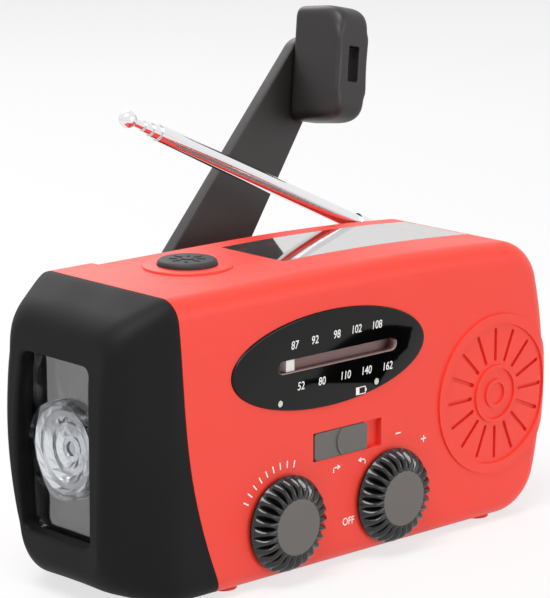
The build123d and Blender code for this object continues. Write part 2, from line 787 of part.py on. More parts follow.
cord_gap = cord_radius + face_gap
with BuildPart() as tuning_drum:
    peg(tuning_x, knob_z, drum_radius + drum_lip,
        (cord_y - cord_gap - drum_cheek, cord_y + cord_gap + drum_cheek))
    with BuildSketch(at_y(cord_y + cord_gap)):
        with Locations((tuning_x, knob_z)):
            Circle(drum_radius + 2 * drum_lip)
            Circle(drum_radius - cord_gap, mode=Mode.SUBTRACT)
    extrude(amount=2 * cord_gap, mode=Mode.SUBTRACT)
    peg(tuning_x, knob_z, shaft_radius, (-inner_y, 0), Mode.SUBTRACT)
save(tuning_drum, "tuning_drum")

for x, width, label in ((tuning_x, capacitor_width, "tuning_capacitor"),
                        (volume_x, control_width, "volume_control")):
    with BuildPart() as control:
        half = width / 2
        span_box((x - half, x + half), (board_front_y - body_depth, board_front_y),
                 (max(knob_z - half, board_z[0]), knob_z + half))
        fillet(control.edges().filter_by(Axis.Y), 1.0)
        peg(x, knob_z, bore_radius, (board_front_y - body_depth - 1, shaft_end + slide_gap), Mode.SUBTRACT)
    save(control, label)

# --- band switch -------------------------------------------------------------------
cap_left = band_left + slide_gap * 2
switch_front = -inner_y + band_pad + seat_gap
with BuildPart() as band_slider:
    span_box((cap_left, cap_left + band_cap_width), (front_y - cap_rise, band_floor - slide_gap),
             (band_rows[0] + slide_gap, band_rows[1] - slide_gap))
    fillet(band_slider.edges().filter_by(Axis.Y), 0.8)
    low, high = (stem_x, band_rows[0] + 2 * slide_gap), (stem_x, band_rows[1] - 2 * slide_gap)
    with BuildSketch(at_y(front_y)):
        with BuildLine():
            ThreePointArc(low, (stem_x + ridge_half, band_z), high)
            ThreePointArc(high, (stem_x - ridge_half, band_z), low)
        make_face()
    extrude(amount=cap_rise + ridge_rise)
    span_box((stem_x - stem_width / 2, stem_x + stem_width / 2),
             (band_floor - slide_gap, switch_front + stem_depth),
             (band_z - stem_height / 2, band_z + stem_height / 2))
save(band_slider, "band_slider")

with BuildPart() as band_switch:
    span_box((stem_x + switch_x[0], stem_x + switch_x[1]), (switch_front, board_front_y),
             (band_z - switch_half, band_z + switch_half))
    span_box((stem_x - stem_width / 2 - slide_gap, stem_x + stem_width / 2 + band_travel + slide_gap),
             (switch_front - 1, switch_front + stem_depth + slide_gap),
             (band_z - stem_height / 2 - slide_gap, band_z + stem_height / 2 + slide_gap), Mode.SUBTRACT)
save(band_switch, "band_switch")

# --- loudspeaker -------------------------------------------------------------------
speaker_axis = Axis((speaker_x, 0, speaker_z), (0, 1, 0))


def speaker_turned(*points):
    """A solid turned about the loudspeaker's axis from (radius, depth) points."""
    with BuildPart() as turned:
        with BuildSketch(Plane.XY.offset(speaker_z)):
            with BuildLine():
                Polyline(*[(speaker_x + radius, -inner_y + depth) for radius, depth in points], close=True)
            make_face()
        revolve(axis=speaker_axis)
    return turned.part


rim, throat = speaker_radius, magnet_radius
with BuildPart() as speaker_frame:
    add(speaker_turned((rim, 0), (rim, 1.2), (rim - 1.2, 1.2), (throat, basket_depth),
                       (throat - 3, basket_depth), (throat - 3, basket_depth - 0.8), (throat - 0.6, basket_depth - 0.8), (rim - 2.0, 0.8),
                       (rim - 2.0, 0)))
save(speaker_frame, "speaker_frame")

with BuildPart() as speaker_cone:
    add(speaker_turned((rim - 2.0, 0.4), (rim - 2.0, 0.8), (rim - 2.9, 0.8), (3.0, cone_depth + 0.4),
                       (0.0, cone_depth), (0.0, cone_depth - 0.4), (3.0, cone_depth), (rim - 3.0, 0.4)))
save(speaker_cone, "speaker_cone")

with BuildPart() as speaker_magnet:
    peg(speaker_x, speaker_z, throat, (-inner_y + basket_depth, -inner_y + basket_depth + magnet_thick))
save(speaker_magnet, "speaker_magnet")

# --- board, aerial rod, lamps --------------------------------------------------------
with BuildPart() as main_board:
    span_box(board_x, (board_front_y, board_back_y), board_z)
    for x, z in case_posts:
        peg(x, z, post_radius + 0.5, (board_front_y - 1, board_back_y + 1), Mode.SUBTRACT)
    for x in board_post_x:
        for z in board_post_z:
            peg(x, z, small_screw_radius + run_gap, (board_front_y - 1, board_back_y + 1), Mode.SUBTRACT)
save(main_board, "main_board")

with BuildPart() as ferrite_rod:
    bar(rod_x, rod_y, rod_z, rod_radius)
save(ferrite_rod, "ferrite_rod")

with BuildPart() as antenna_coil:
    bar(coil_x, rod_y, rod_z, coil_radius)
    bar(rod_x, rod_y, rod_z, rod_radius, Mode.SUBTRACT)
save(antenna_coil, "antenna_coil")

with BuildPart() as indicator_lamps:
    for x, z in lamps:
        peg(x, z, lamp_hole - run_gap, (front_y - 0.2, board_front_y))
        peg(x, z, lamp_hole + 0.6, (board_front_y - 2.0, board_front_y))
save(indicator_lamps, "indicator_lamps")

# --- battery -------------------------------------------------------------------------
floor_z = case_bottom + wall
battery_z = floor_z + tray_floor + battery_radius
with BuildPart() as battery:
    bar(battery_x, battery_y, battery_z, battery_radius)
    fillet(battery.edges(), 0.5)
save(battery, "battery")

with BuildPart() as battery_tray:
    span_box((battery_x[0] - holder_end - run_gap, battery_x[1] + holder_end + run_gap),
             (battery_y - battery_radius, battery_y + battery_radius), (floor_z, battery_z - 1.0))
    bar((battery_x[0] - run_gap, battery_x[1] + run_gap), battery_y, battery_z, battery_radius + run_gap,
        Mode.SUBTRACT)
save(battery_tray, "battery_tray")

# --- charging sockets ------------------------------------------------------------------
with BuildPart() as port_board:
    span_box((port_x + port_board_x[0], port_x + port_board_x[1]),
             (port_board_front, inner_y - flap_thick - seat_gap),
             (port_board_top - board_thick, port_board_top))
save(port_board, "port_board")

for x, width, height, label in ((usb_x, usb_width, usb_height, "usb_socket"),
                                (charge_x, charge_width, charge_height, "charge_socket")):
    with BuildPart() as socket:
        mid = port_board_top + height / 2
        span_box((x - width / 2, x + width / 2), (socket_front, port_floor - seat_gap),
                 (port_board_top, port_board_top + height))
        span_box((x - width / 2 + socket_skin, x + width / 2 - socket_skin), (socket_front + 2, back_y),
                 (port_board_top + socket_skin, port_board_top + height - socket_skin), Mode.SUBTRACT)
        tongue = 0.35 * height - socket_skin
        span_box((x - width / 2 + 2 * socket_skin, x + width / 2 - 2 * socket_skin),
                 (socket_front + 1, port_floor - 1), (mid - tongue / 2, mid + tongue / 2))
    save(socket, label)

with BuildPart() as port_cover:
    span_box((port_x - port_width / 2, port_x + port_width / 2), (back_y - flap_thick, back_y),
             (flap_axis_z, port_z + port_height / 2))
    bar((port_x - port_width / 2, port_x + port_width / 2), flap_axis_y, flap_axis_z, flap_thick / 2)
    bar((port_x - port_width / 2 - nub_length, port_x + port_width / 2 + nub_length),
        flap_axis_y, flap_axis_z, nub_radius)
save(port_cover, "port_cover")

# --- generator gear train -------------------------------------------------------------------
def pitch_radius(teeth):
    return module * teeth / 2


def toothed(teeth, x, z, y, phase):
    """A spur gear between y[0] and y[1]; one tooth is centred at phase degrees."""
    root, tip = pitch_radius(teeth) - 1.15 * module, pitch_radius(teeth) + 0.9 * module
    half = tooth_share * pi * module / 2
    foot, crest = half + 1.15 * module * tan(radians(20)), half - 0.9 * module * tan(radians(20))
    with BuildPart() as gear:
        with BuildSketch(at_y(y[1])):
            with Locations((x, z)):
                Circle(root)
                with PolarLocations(0, teeth, start_angle=phase):
                    Polygon((root - 0.3, -foot), (tip, -crest), (tip, crest), (root - 0.3, foot), align=None)
        extrude(amount=y[1] - y[0])
    return gear.part


first_reach = pitch_radius(drive_teeth) + pitch_radius(idler_pinion_teeth) + mesh_gap
second_reach = pitch_radius(idler_teeth) + pitch_radius(rotor_teeth) + mesh_gap
idler_x = crank_x + first_reach * cos(radians(first_stage_angle))
idler_z = crank_z + first_reach * sin(radians(first_stage_angle))
rotor_x = idler_x + second_reach * cos(radians(second_stage_angle))
rotor_z = idler_z + second_reach * sin(radians(second_stage_angle))
drive_span = (drive_y - gear_thick / 2, drive_y + gear_thick / 2)
idler_span = (idler_y - gear_thick / 2, idler_y + gear_thick / 2)
cover_back = plate_front_y + plate_thick
journal_radius = crank_shaft_radius - 1.0

with BuildPart() as drive_gear:
    add(toothed(drive_teeth, crank_x, crank_z, drive_span, first_stage_angle))
    peg(crank_x, crank_z, crank_shaft_radius, (0, back_y), Mode.SUBTRACT)
save(drive_gear, "drive_gear")

with BuildPart() as idler_gear:
    add(toothed(idler_pinion_teeth, idler_x, idler_z, (idler_span[1] - 0.5, drive_span[1]),
                first_stage_angle + 180 + 180 / idler_pinion_teeth))
    add(toothed(idler_teeth, idler_x, idler_z, idler_span, second_stage_angle))
    peg(idler_x, idler_z, idler_axle_radius, (cover_back - plate_thick / 2, plate_back_y + plate_thick / 2))
save(idler_gear, "idler_gear")

with BuildPart() as rotor_pinion:
    add(toothed(rotor_teeth, rotor_x, rotor_z, idler_span, second_stage_angle + 180 + 180 / rotor_teeth))
    peg(rotor_x, rotor_z, rotor_shaft_radius, (0, back_y), Mode.SUBTRACT)
save(rotor_pinion, "rotor_pinion")

can_front = plate_front_y - generator_length
with BuildPart() as generator_can:
    peg(rotor_x, rotor_z, generator_radius, (can_front, plate_front_y))
    fillet(generator_can.faces().sort_by(Axis.Y)[0].edges(), 0.8)
    peg(rotor_x, rotor_z, generator_radius - generator_wall, (can_front + 1.2, plate_front_y + 1),
        Mode.SUBTRACT)
    peg(rotor_x, rotor_z, rotor_shaft_radius + run_gap, (can_front - 1, plate_front_y), Mode.SUBTRACT)
save(generator_can, "generator_can")

with BuildPart() as generator_rotor:
    peg(rotor_x, rotor_z, generator_radius - generator_wall - face_gap,
        (can_front + 1.2 + face_gap, plate_front_y - face_gap))
    peg(rotor_x, rotor_z, rotor_shaft_radius, (can_front + 0.2, idler_span[1]))
save(generator_rotor, "generator_rotor")

with BuildPart() as gearbox_frame:
    span_box(plate_x, (plate_back_y, plate_back_face), plate_z)
    for x in pillar_x:
        for z in pillar_z:
            peg(x, z, pillar_radius, (cover_back, plate_back_y))
            peg(x, z, gear_screw_radius + run_gap, (0, back_y), Mode.SUBTRACT)
    fillet(gearbox_frame.edges().filter_by(Axis.Y).group_by(Axis.X)[0], 2.0)
    peg(crank_x, crank_z, crank_shaft_radius + run_gap, (plate_back_y - 1, back_y), Mode.SUBTRACT)
    peg(idler_x, idler_z, idler_axle_radius + run_gap, (plate_back_y - 1, back_y), Mode.SUBTRACT)
save(gearbox_frame, "gearbox_frame")

with BuildPart() as gearbox_cover:
    span_box(plate_x, (plate_front_y, cover_back), plate_z)
    fillet(gearbox_cover.edges().filter_by(Axis.Y), 2.0)
    for x in pillar_x:
        for z in pillar_z:
            peg(x, z, gear_screw_radius + run_gap, (0, back_y), Mode.SUBTRACT)
    peg(crank_x, crank_z, journal_radius + run_gap, (0, back_y), Mode.SUBTRACT)
    peg(idler_x, idler_z, idler_axle_radius + run_gap, (0, back_y), Mode.SUBTRACT)
    peg(rotor_x, rotor_z, rotor_shaft_radius + run_gap, (0, back_y), Mode.SUBTRACT)
save(gearbox_cover, "gearbox_cover")

# --- crank ----------------------------------------------------------------------------------
lean, turn = radians(crank_lean), radians(crank_angle)
hub_back = back_y + face_gap + hub_disc
ear_radius = hinge_barrel
lug_half_width = hub_lug_width / 2
slot_half_width = lug_half_width + slide_gap
arm_root = arm_root_width / 2
hub_plane = Plane(origin=(crank_x, hinge_y, crank_z), x_dir=(cos(turn), 0, sin(turn)), z_dir=(0, -1, 0))
arm_plane = Plane(
    origin=(crank_x, hinge_y, crank_z),
    x_dir=(cos(turn) * cos(lean), sin(lean), sin(turn) * cos(lean)),
    z_dir=(cos(turn) * sin(lean), -cos(lean), sin(turn) * sin(lean)),
)


def hinge_rod(radius, low, high, mode=Mode.ADD):
    """A round bar along the crank's hinge line, from low to high across the arm."""
    middle = hub_plane.from_local_coords(Vector(0, (low + high) / 2, 0))
    with Locations(Plane(origin=middle, z_dir=hub_plane.y_dir).location):
        Cylinder(radius, high - low, mode=mode)


with BuildPart() as crank_bush:
    peg(crank_x, crank_z, bush_radius, (plate_back_face + seat_gap, back_y))
    peg(crank_x, crank_z, bush_flange, (plate_back_face + seat_gap, inner_y))
    peg(crank_x, crank_z, crank_shaft_radius + run_gap, (0, back_y + 1), Mode.SUBTRACT)
save(crank_bush, "crank_bush")

with BuildPart() as crank_shaft:
    peg(crank_x, crank_z, crank_shaft_radius, (cover_back + face_gap, hub_back + 0.4))
    peg(crank_x, crank_z, journal_radius, (plate_front_y - 0.4, cover_back + face_gap))
save(crank_shaft, "crank_shaft")

with BuildPart() as crank_hub:
    peg(crank_x, crank_z, hub_radius, (hub_back - hub_disc, hub_back))
    fillet(crank_hub.faces().sort_by(Axis.Y)[-1].edges(), 0.8)
    with BuildSketch(hub_plane):
        Rectangle(2 * hinge_barrel, hub_lug_width)
    extrude(amount=hinge_y - hub_back + 0.3)
    hinge_rod(hinge_barrel, -lug_half_width, lug_half_width)
    hinge_rod(hinge_pin_radius + run_gap, -lug_half_width - 1, lug_half_width + 1, Mode.SUBTRACT)
    peg(crank_x, crank_z, crank_shaft_radius, (0, hub_back + 0.4), Mode.SUBTRACT)
save(crank_hub, "crank_hub")

with BuildPart() as hinge_pin:
    hinge_rod(hinge_pin_radius, -arm_root + 0.4, arm_root - 0.4)
save(hinge_pin, "hinge_pin")

with BuildPart() as crank_arm:
    with BuildSketch(arm_plane.offset(-arm_thick / 2)):
        tip = arm_tip_width / 2
        with BuildLine():
            Line((0, arm_root), (0, -arm_root))
            Line((0, -arm_root), (crank_reach, -tip))
            ThreePointArc((crank_reach, -tip), (crank_reach + tip, 0), (crank_reach, tip))
            Line((crank_reach, tip), (0, arm_root))
        make_face()
    extrude(amount=arm_thick)
    fillet(crank_arm.faces().sort_by(Axis((0, 0, 0), arm_plane.z_dir))[-1].edges(), arm_edge)
    fillet(crank_arm.faces().sort_by(Axis((0, 0, 0), arm_plane.z_dir))[0].edges(), arm_edge)
    hinge_rod(ear_radius, -arm_root, -slot_half_width)
    hinge_rod(ear_radius, slot_half_width, arm_root)
    with BuildSketch(arm_plane.offset(-arm_thick)):
        Rectangle(2 * (hinge_barrel + face_gap), 2 * slot_half_width)
    extrude(amount=2 * arm_thick, mode=Mode.SUBTRACT)
    hinge_rod(hinge_pin_radius, -arm_root - 1, arm_root + 1, Mode.SUBTRACT)
    with BuildSketch(arm_plane.offset(-arm_thick)):
        with Locations((crank_reach, 0)):
            Circle(knob_pin_radius)
    extrude(amount=2 * arm_thick, mode=Mode.SUBTRACT)
save(crank_arm, "crank_arm")

pin_base = arm_plane.from_local_coords(Vector(crank_reach, 0, 0))
grip_dir = (arm_plane.x_dir * cos(radians(handle_turn)) + arm_plane.y_dir * sin(radians(handle_turn)))
grip_start = arm_thick / 2 + face_gap
grip_plane = Plane(origin=pin_base + arm_plane.z_dir * grip_start, x_dir=grip_dir, z_dir=arm_plane.z_dir)
with BuildPart() as crank_knob:
    with BuildSketch(grip_plane):
        Rectangle(handle_length, handle_width)
    extrude(amount=handle_depth)
    outward = Axis((0, 0, 0), arm_plane.z_dir)
    free_end = crank_knob.faces().sort_by(outward)[-1]
    fillet(free_end.edges().filter_by(Axis((0, 0, 0), grip_plane.y_dir)), handle_corner)
    fillet(crank_knob.faces().filter_by(Axis((0, 0, 0), grip_plane.y_dir)).edges(), handle_round)
    with BuildSketch(grip_plane):
        Circle(knob_pin_radius + run_gap)
    extrude(amount=handle_depth, mode=Mode.SUBTRACT)
    with BuildSketch(grip_plane.offset(handle_depth - recess_depth)):
        Rectangle(recess_length, recess_width)
    extrude(amount=recess_depth, mode=Mode.SUBTRACT)
save(crank_knob, "crank_knob")

with BuildPart() as knob_pin:
    riveted_face = pin_base - arm_plane.z_dir * (arm_thick / 2)
    with BuildSketch(arm_plane.offset(-arm_thick / 2).shift_origin(riveted_face)):
        Circle(knob_pin_radius)
    extrude(amount=grip_start + arm_thick / 2 + handle_depth - recess_depth + run_gap)
    with BuildSketch(grip_plane.offset(handle_depth - recess_depth + run_gap)):
        Circle(recess_width / 2 - 2 * run_gap)
    extrude(amount=rivet_thick)
save(knob_pin, "knob_pin")

# --- antenna -----------------------------------------------------------------------------------
tilt = radians(antenna_tilt)
antenna_pivot = Vector(antenna_x, antenna_y, antenna_z)
antenna_axis = Vector(-cos(tilt), 0, sin(tilt))


def along_antenna(radius, low, high, mode=Mode.ADD):
    """A round rod along the antenna, low to high from its pivot."""
    middle = antenna_pivot + antenna_axis * ((low + high) / 2)
    with Locations(Plane(origin=middle, z_dir=antenna_axis).location):
        Cylinder(radius, high - low, mode=mode)


tube_ends = [base_end + tube_step * step for step in range(3)]
with BuildPart() as antenna_base:
    along_antenna(tube_radii[0], tube_start, tube_ends[0])
    along_antenna(tube_radii[0] - tube_wall, tube_start + 2, tube_ends[0] + 1, Mode.SUBTRACT)
    along_antenna(tube_radii[0] + 0.35, tube_start, tube_start + 6)
    along_antenna(tube_radii[0] - tube_wall, tube_start + 2, tube_ends[0] + 1, Mode.SUBTRACT)
    peg(antenna_x, antenna_z, eye_radius, (antenna_y - eye_half, antenna_y + eye_half))
    with Locations(Plane(origin=antenna_pivot + antenna_axis * (tube_start / 2), x_dir=antenna_axis,
                         z_dir=(0, -1, 0)).location):
        Box(tube_start, 2 * eye_radius - 0.4, 2 * eye_half)
    peg(antenna_x, antenna_z, pivot_radius + run_gap, (0, back_y + 5), Mode.SUBTRACT)
save(antenna_base, "antenna_base")

for number, label in ((1, "antenna_second"), (2, "antenna_third")):
    with BuildPart() as tube:
        along_antenna(tube_radii[number], tube_start + 2 + 2 * number, tube_ends[number])
        along_antenna(tube_radii[number] - tube_wall, tube_start + 3 + 2 * number, tube_ends[number] + 1,
                      Mode.SUBTRACT)
    save(tube, label)

with BuildPart() as antenna_rod:
    along_antenna(tube_radii[3], tube_start + 8, tip_reach)
    with Locations(Plane(origin=antenna_pivot + antenna_axis * tip_reach, z_dir=antenna_axis).location):
        Sphere(tip_radius)
save(antenna_rod, "antenna_rod")

with BuildPart() as antenna_screw:
    peg(antenna_x, antenna_z, pivot_radius, (pivot_boss_y + 1, antenna_y + eye_half + face_gap))
    peg(antenna_x, antenna_z, screw_head, (antenna_y + eye_half + face_gap, back_y - seat_gap))
    span_box((antenna_x - screw_head, antenna_x + screw_head), (back_y - 0.5, back_y),
             (antenna_z - 0.3, antenna_z + 0.3), Mode.SUBTRACT)
save(antenna_screw, "antenna_screw")


# --- screws ----------------------------------------------------------------------------------------
def screw(x, z, shank, head, ends, thick):
    """One pan head screw along Y in the open block; its head is at ends[1]."""
    peg(x, z, shank, ends)
    peg(x, z, head, (min(ends[1], ends[1] + thick), max(ends[1], ends[1] + thick)))
    slot_y = ends[1] + thick
    for wide, tall in ((head * 0.6, 0.3), (0.3, head * 0.6)):
        span_box((x - wide, x + wide), (slot_y - 0.6, slot_y + 0.6), (z - tall, z + tall), Mode.SUBTRACT)


with BuildPart() as case_screws:
    for x, z in case_posts:
        screw(x, z, case_screw_radius, case_head_radius, (case_screw_end, case_head_y), case_head_thick)
save(case_screws, "case_screws")

with BuildPart() as board_screws:
    for x in board_post_x:
        for z in board_post_z:
            screw(x, z, small_screw_radius, small_head_radius, (board_screw_end, board_back_y),
                  small_head_thick)
save(board_screws, "board_screws")

with BuildPart() as gearbox_screws:
    for x in pillar_x:
        for z in pillar_z:
            peg(x, z, gear_screw_radius, (plate_front_y, screw_deep))
            peg(x, z, small_head_radius, (plate_front_y - small_head_thick, plate_front_y))
save(gearbox_screws, "gearbox_screws")
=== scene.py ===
# %% [markdown]
# # A hand crank charger with a dial radio and a torch
# The object is a pocket power plant: a red moulded case, a black rubbery boot round the torch end,
# a crank arm folded up behind it, a chrome antenna and a solar window on top. The construction comes
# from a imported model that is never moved. This script dresses it: it gives each moulding its finish,
# prints the dial, and adds the fine forms that a camera sees and a workshop drawing leaves out.

# %% Load the fixed frame and keep its box
import json
import math

import bpy
import numpy as np
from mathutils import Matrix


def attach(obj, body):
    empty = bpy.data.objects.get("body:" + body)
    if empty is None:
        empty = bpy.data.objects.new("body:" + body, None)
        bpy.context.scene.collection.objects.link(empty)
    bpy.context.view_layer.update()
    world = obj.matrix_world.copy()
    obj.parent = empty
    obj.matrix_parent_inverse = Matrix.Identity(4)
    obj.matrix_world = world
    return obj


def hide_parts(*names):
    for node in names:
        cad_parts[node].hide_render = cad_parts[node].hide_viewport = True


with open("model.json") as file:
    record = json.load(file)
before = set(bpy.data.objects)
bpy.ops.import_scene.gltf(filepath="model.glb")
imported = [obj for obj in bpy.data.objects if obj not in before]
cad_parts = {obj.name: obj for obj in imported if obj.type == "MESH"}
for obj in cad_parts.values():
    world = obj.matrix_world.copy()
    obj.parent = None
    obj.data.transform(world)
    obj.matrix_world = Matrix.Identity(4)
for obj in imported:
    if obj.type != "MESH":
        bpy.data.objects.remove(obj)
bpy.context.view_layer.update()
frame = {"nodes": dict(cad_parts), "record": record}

nodes = frame["nodes"]
MM = 0.001

# %% [markdown]
# ## Camera
# The photograph is taken from in front and to the left, a little above the top of the case, with a
# long lens: edges that run away from the camera hardly converge. The place and the lens were found
# by matching the corners of the case, and the small shift is the crop of the picture.

# %% Camera
CAMERA_PLACE = (-0.43655, -0.47180, 0.20094)
CAMERA_YAW = 42.85              # degrees from +Y towards +X
CAMERA_PITCH = 12.77            # degrees below the horizon

camera_data = bpy.data.cameras.new("camera")
camera_data.lens = 180.1
camera_data.sensor_width = 36.0
camera_data.shift_x, camera_data.shift_y = -0.0145, 0.0039
camera = bpy.data.objects.new("camera", camera_data)
camera.location = CAMERA_PLACE
camera.rotation_euler = (math.radians(90 - CAMERA_PITCH), 0, math.radians(-CAMERA_YAW))
bpy.context.scene.collection.objects.link(camera)
bpy.context.scene.camera = camera

# %% [markdown]
# ## Two helpers
# Every material is a small network of nodes, and every colour is written the way a picker shows it.
# One helper adds a node with its settings and wires, the other turns such a colour into linear light.

# %% Helpers for nodes and colours
def add(tree, kind, links=None, **settings):
    """Adds a node of this kind; settings are its own options, links gives its inputs a value or a wire."""
    made = tree.nodes.new(kind)
    for name, value in settings.items():
        setattr(made, name, value)
    for name, value in (links or {}).items():
        if isinstance(value, bpy.types.NodeSocket):
            tree.links.new(value, made.inputs[name])
        else:
            made.inputs[name].default_value = value
    return made


def linear(hex_colour, alpha=1.0):
    """An sRGB hex colour as linear light: c / 12.92 in the toe, ((c + 0.055) / 1.055) ^ 2.4 above it."""
    srgb = np.array([int(hex_colour[i:i + 2], 16) for i in (1, 3, 5)]) / 255
    light = np.where(srgb <= 0.04045, srgb / 12.92, ((srgb + 0.055) / 1.055) ** 2.4)
    return (*light.tolist(), alpha)


# %% [markdown]
# ## Light
# A product photograph on a white sweep: one large soft lamp high on the left makes the pale band along
# the top of the case and the boot, a weaker one from the front keeps the face red, and one from behind
# draws the edges. Paper all round lights the rest. To the camera, to gloss and through the clear
# plastics that paper is plain white, which costs no extra light on the object.

# %% World
ROOM_LIGHT = 0.42               # how strongly the paper round the product lights it; white is 1

world = bpy.data.worlds.new("white_sweep")
bpy.context.scene.world = world
world.use_nodes = True
tree = world.node_tree
tree.nodes.clear()
path = add(tree, "ShaderNodeLightPath")
clear_ray = add(tree, "ShaderNodeMath",
                {0: path.outputs["Is Camera Ray"], 1: path.outputs["Is Transmission Ray"]},
                operation="MAXIMUM")
seen_ray = add(tree, "ShaderNodeMath", {0: clear_ray.outputs[0], 1: path.outputs["Is Glossy Ray"]},
               operation="MAXIMUM")
strength = add(tree, "ShaderNodeMapRange",
               {"Value": seen_ray.outputs[0], "To Min": ROOM_LIGHT, "To Max": 1.0})
paper = add(tree, "ShaderNodeBackground", {"Color": (1, 1, 1, 1), "Strength": strength.outputs[0]})
add(tree, "ShaderNodeOutputWorld", {"Surface": paper.outputs[0]})
bpy.context.scene.view_settings.view_transform = "Standard"

# %% Lamps
LAMPS = {                       # place in metres, side in metres, power in watts
    "key": ((-0.35, -0.15, 0.80), 0.45, 5.5),
    "fill": ((0.30, -0.85, 0.25), 0.6, 2.6),
    "back": ((0.25, 0.65, 0.60), 0.5, 2.4),
}
LAMP_TARGET = np.array([0.0, 0.0, 0.04])        # the middle of the case, in metres

for name, (place, side, power) in LAMPS.items():
    lamp = bpy.data.lights.new(name, "AREA")
    lamp.size, lamp.energy = side, power
    holder = bpy.data.objects.new(name, lamp)
    holder.location = place
    aim = LAMP_TARGET - np.array(place)
    drop = math.atan2(-aim[2], np.hypot(aim[0], aim[1]))
    holder.rotation_euler = (math.pi / 2 - drop, 0, math.atan2(aim[1], aim[0]) - math.pi / 2)
    bpy.context.scene.collection.objects.link(holder)
print("lamps:", ", ".join(f"{name} {power} W" for name, (_, _, power) in LAMPS.items()))

# %% [markdown]
# ## Floor
# The product stands on the sweep's paper. Matt paper takes the soft shadow, and a share of glow that
# only the camera and gloss see lets it run into the white beyond without a horizon.

# %% Floor
def new_mesh(name, points, faces, smooth=True):
    """A mesh object from an (n, 3) array of points in metres and an array or list of faces."""
    mesh = bpy.data.meshes.new(name)
    mesh.from_pydata(np.asarray(points).tolist(), [], [list(map(int, face)) for face in faces])
    mesh.polygons.foreach_set("use_smooth", np.full(len(mesh.polygons), smooth))
    made = bpy.data.objects.new(name, mesh)
    bpy.context.scene.collection.objects.link(made)
    return made


FLOOR = 3.0                     # half the floor's side, in metres
FLOOR_GLOW = 0.72               # the share of glow in the paper, so that the shadow still shows

floor = new_mesh("floor", [(-FLOOR, -FLOOR, 0), (FLOOR, -FLOOR, 0), (FLOOR, FLOOR, 0), (-FLOOR, FLOOR, 0)],
                 [(0, 1, 2, 3)])
sweep = bpy.data.materials.new("matt_white_paper")
sweep.use_nodes = True
tree = sweep.node_tree
tree.nodes.clear()
path = add(tree, "ShaderNodeLightPath")
matt = add(tree, "ShaderNodeBsdfDiffuse", {"Color": linear("#F0F0F0")})
glow = add(tree, "ShaderNodeEmission", {"Color": (1, 1, 1, 1), "Strength": 1.0})
seen_ray = add(tree, "ShaderNodeMath",
               {0: path.outputs["Is Camera Ray"], 1: path.outputs["Is Glossy Ray"]},
               operation="MAXIMUM")
share = add(tree, "ShaderNodeMath", {0: seen_ray.outputs[0], 1: FLOOR_GLOW}, operation="MULTIPLY")
both = add(tree, "ShaderNodeMixShader", {0: share.outputs[0], 1: matt.outputs[0], 2: glow.outputs[0]})
add(tree, "ShaderNodeOutputMaterial", {"Surface": both.outputs[0]})
floor.data.materials.append(sweep)

# %% [markdown]
# ## Moulded plastics and rubbers
# The case is injection moulded ABS: a hard, satin plastic whose surface carries the fine texture of
# the tool. Every moulded plastic here starts from one function with typical values for plastic (IOR
# 1.3 to 1.6, roughness 0.2 to 0.6), and differs in colour, gloss and grain. The grain is drawn a
# little coarser than real spark erosion, about a quarter of a millimetre, so that it shows.

# %% Helper: moulded surfaces
NOISE_RANGE = {"From Min": 0.3, "From Max": 0.7}        # a noise hardly ever leaves this range
FLOW_PATCHES = 45.0             # broad noise cells per metre: patches of about 22 mm


def moulded(name, colour, roughness, grain_mm, depth_mm, ior=1.5, spread=0.0, coat=0.0):
    """A moulded surface: one colour, a gloss, and a noise bump with this grain size and depth.
    spread varies the colour a little in broad patches, as flow lines do."""
    made = bpy.data.materials.new(name)
    made.use_nodes = True
    tree = made.node_tree
    shader = tree.nodes["Principled BSDF"]
    shader.inputs["IOR"].default_value = ior
    shader.inputs["Coat Weight"].default_value = coat
    shader.inputs["Coat Roughness"].default_value = 0.12
    place = add(tree, "ShaderNodeTexCoord").outputs["Object"]
    grain = add(tree, "ShaderNodeTexNoise", {"Vector": place, "Scale": 1 / (grain_mm * MM), "Detail": 3.0})
    bump = add(tree, "ShaderNodeBump", {"Height": grain.outputs[0], "Distance": depth_mm * MM})
    tree.links.new(bump.outputs[0], shader.inputs["Normal"])
    broad = add(tree, "ShaderNodeTexNoise", {"Vector": place, "Scale": FLOW_PATCHES, "Detail": 2.0})
    value = add(tree, "ShaderNodeMapRange",
                {"Value": broad.outputs[0], "To Min": 1 - spread, "To Max": 1 + spread, **NOISE_RANGE})
    tone = add(tree, "ShaderNodeHueSaturation", {"Color": linear(colour), "Value": value.outputs[0]})
    tree.links.new(tone.outputs[0], shader.inputs["Base Color"])
    gloss = add(tree, "ShaderNodeMapRange", {"Value": broad.outputs[0], "To Min": roughness * 0.92,
                                             "To Max": roughness * 1.08, **NOISE_RANGE})
    tree.links.new(gloss.outputs[0], shader.inputs["Roughness"])
    return made


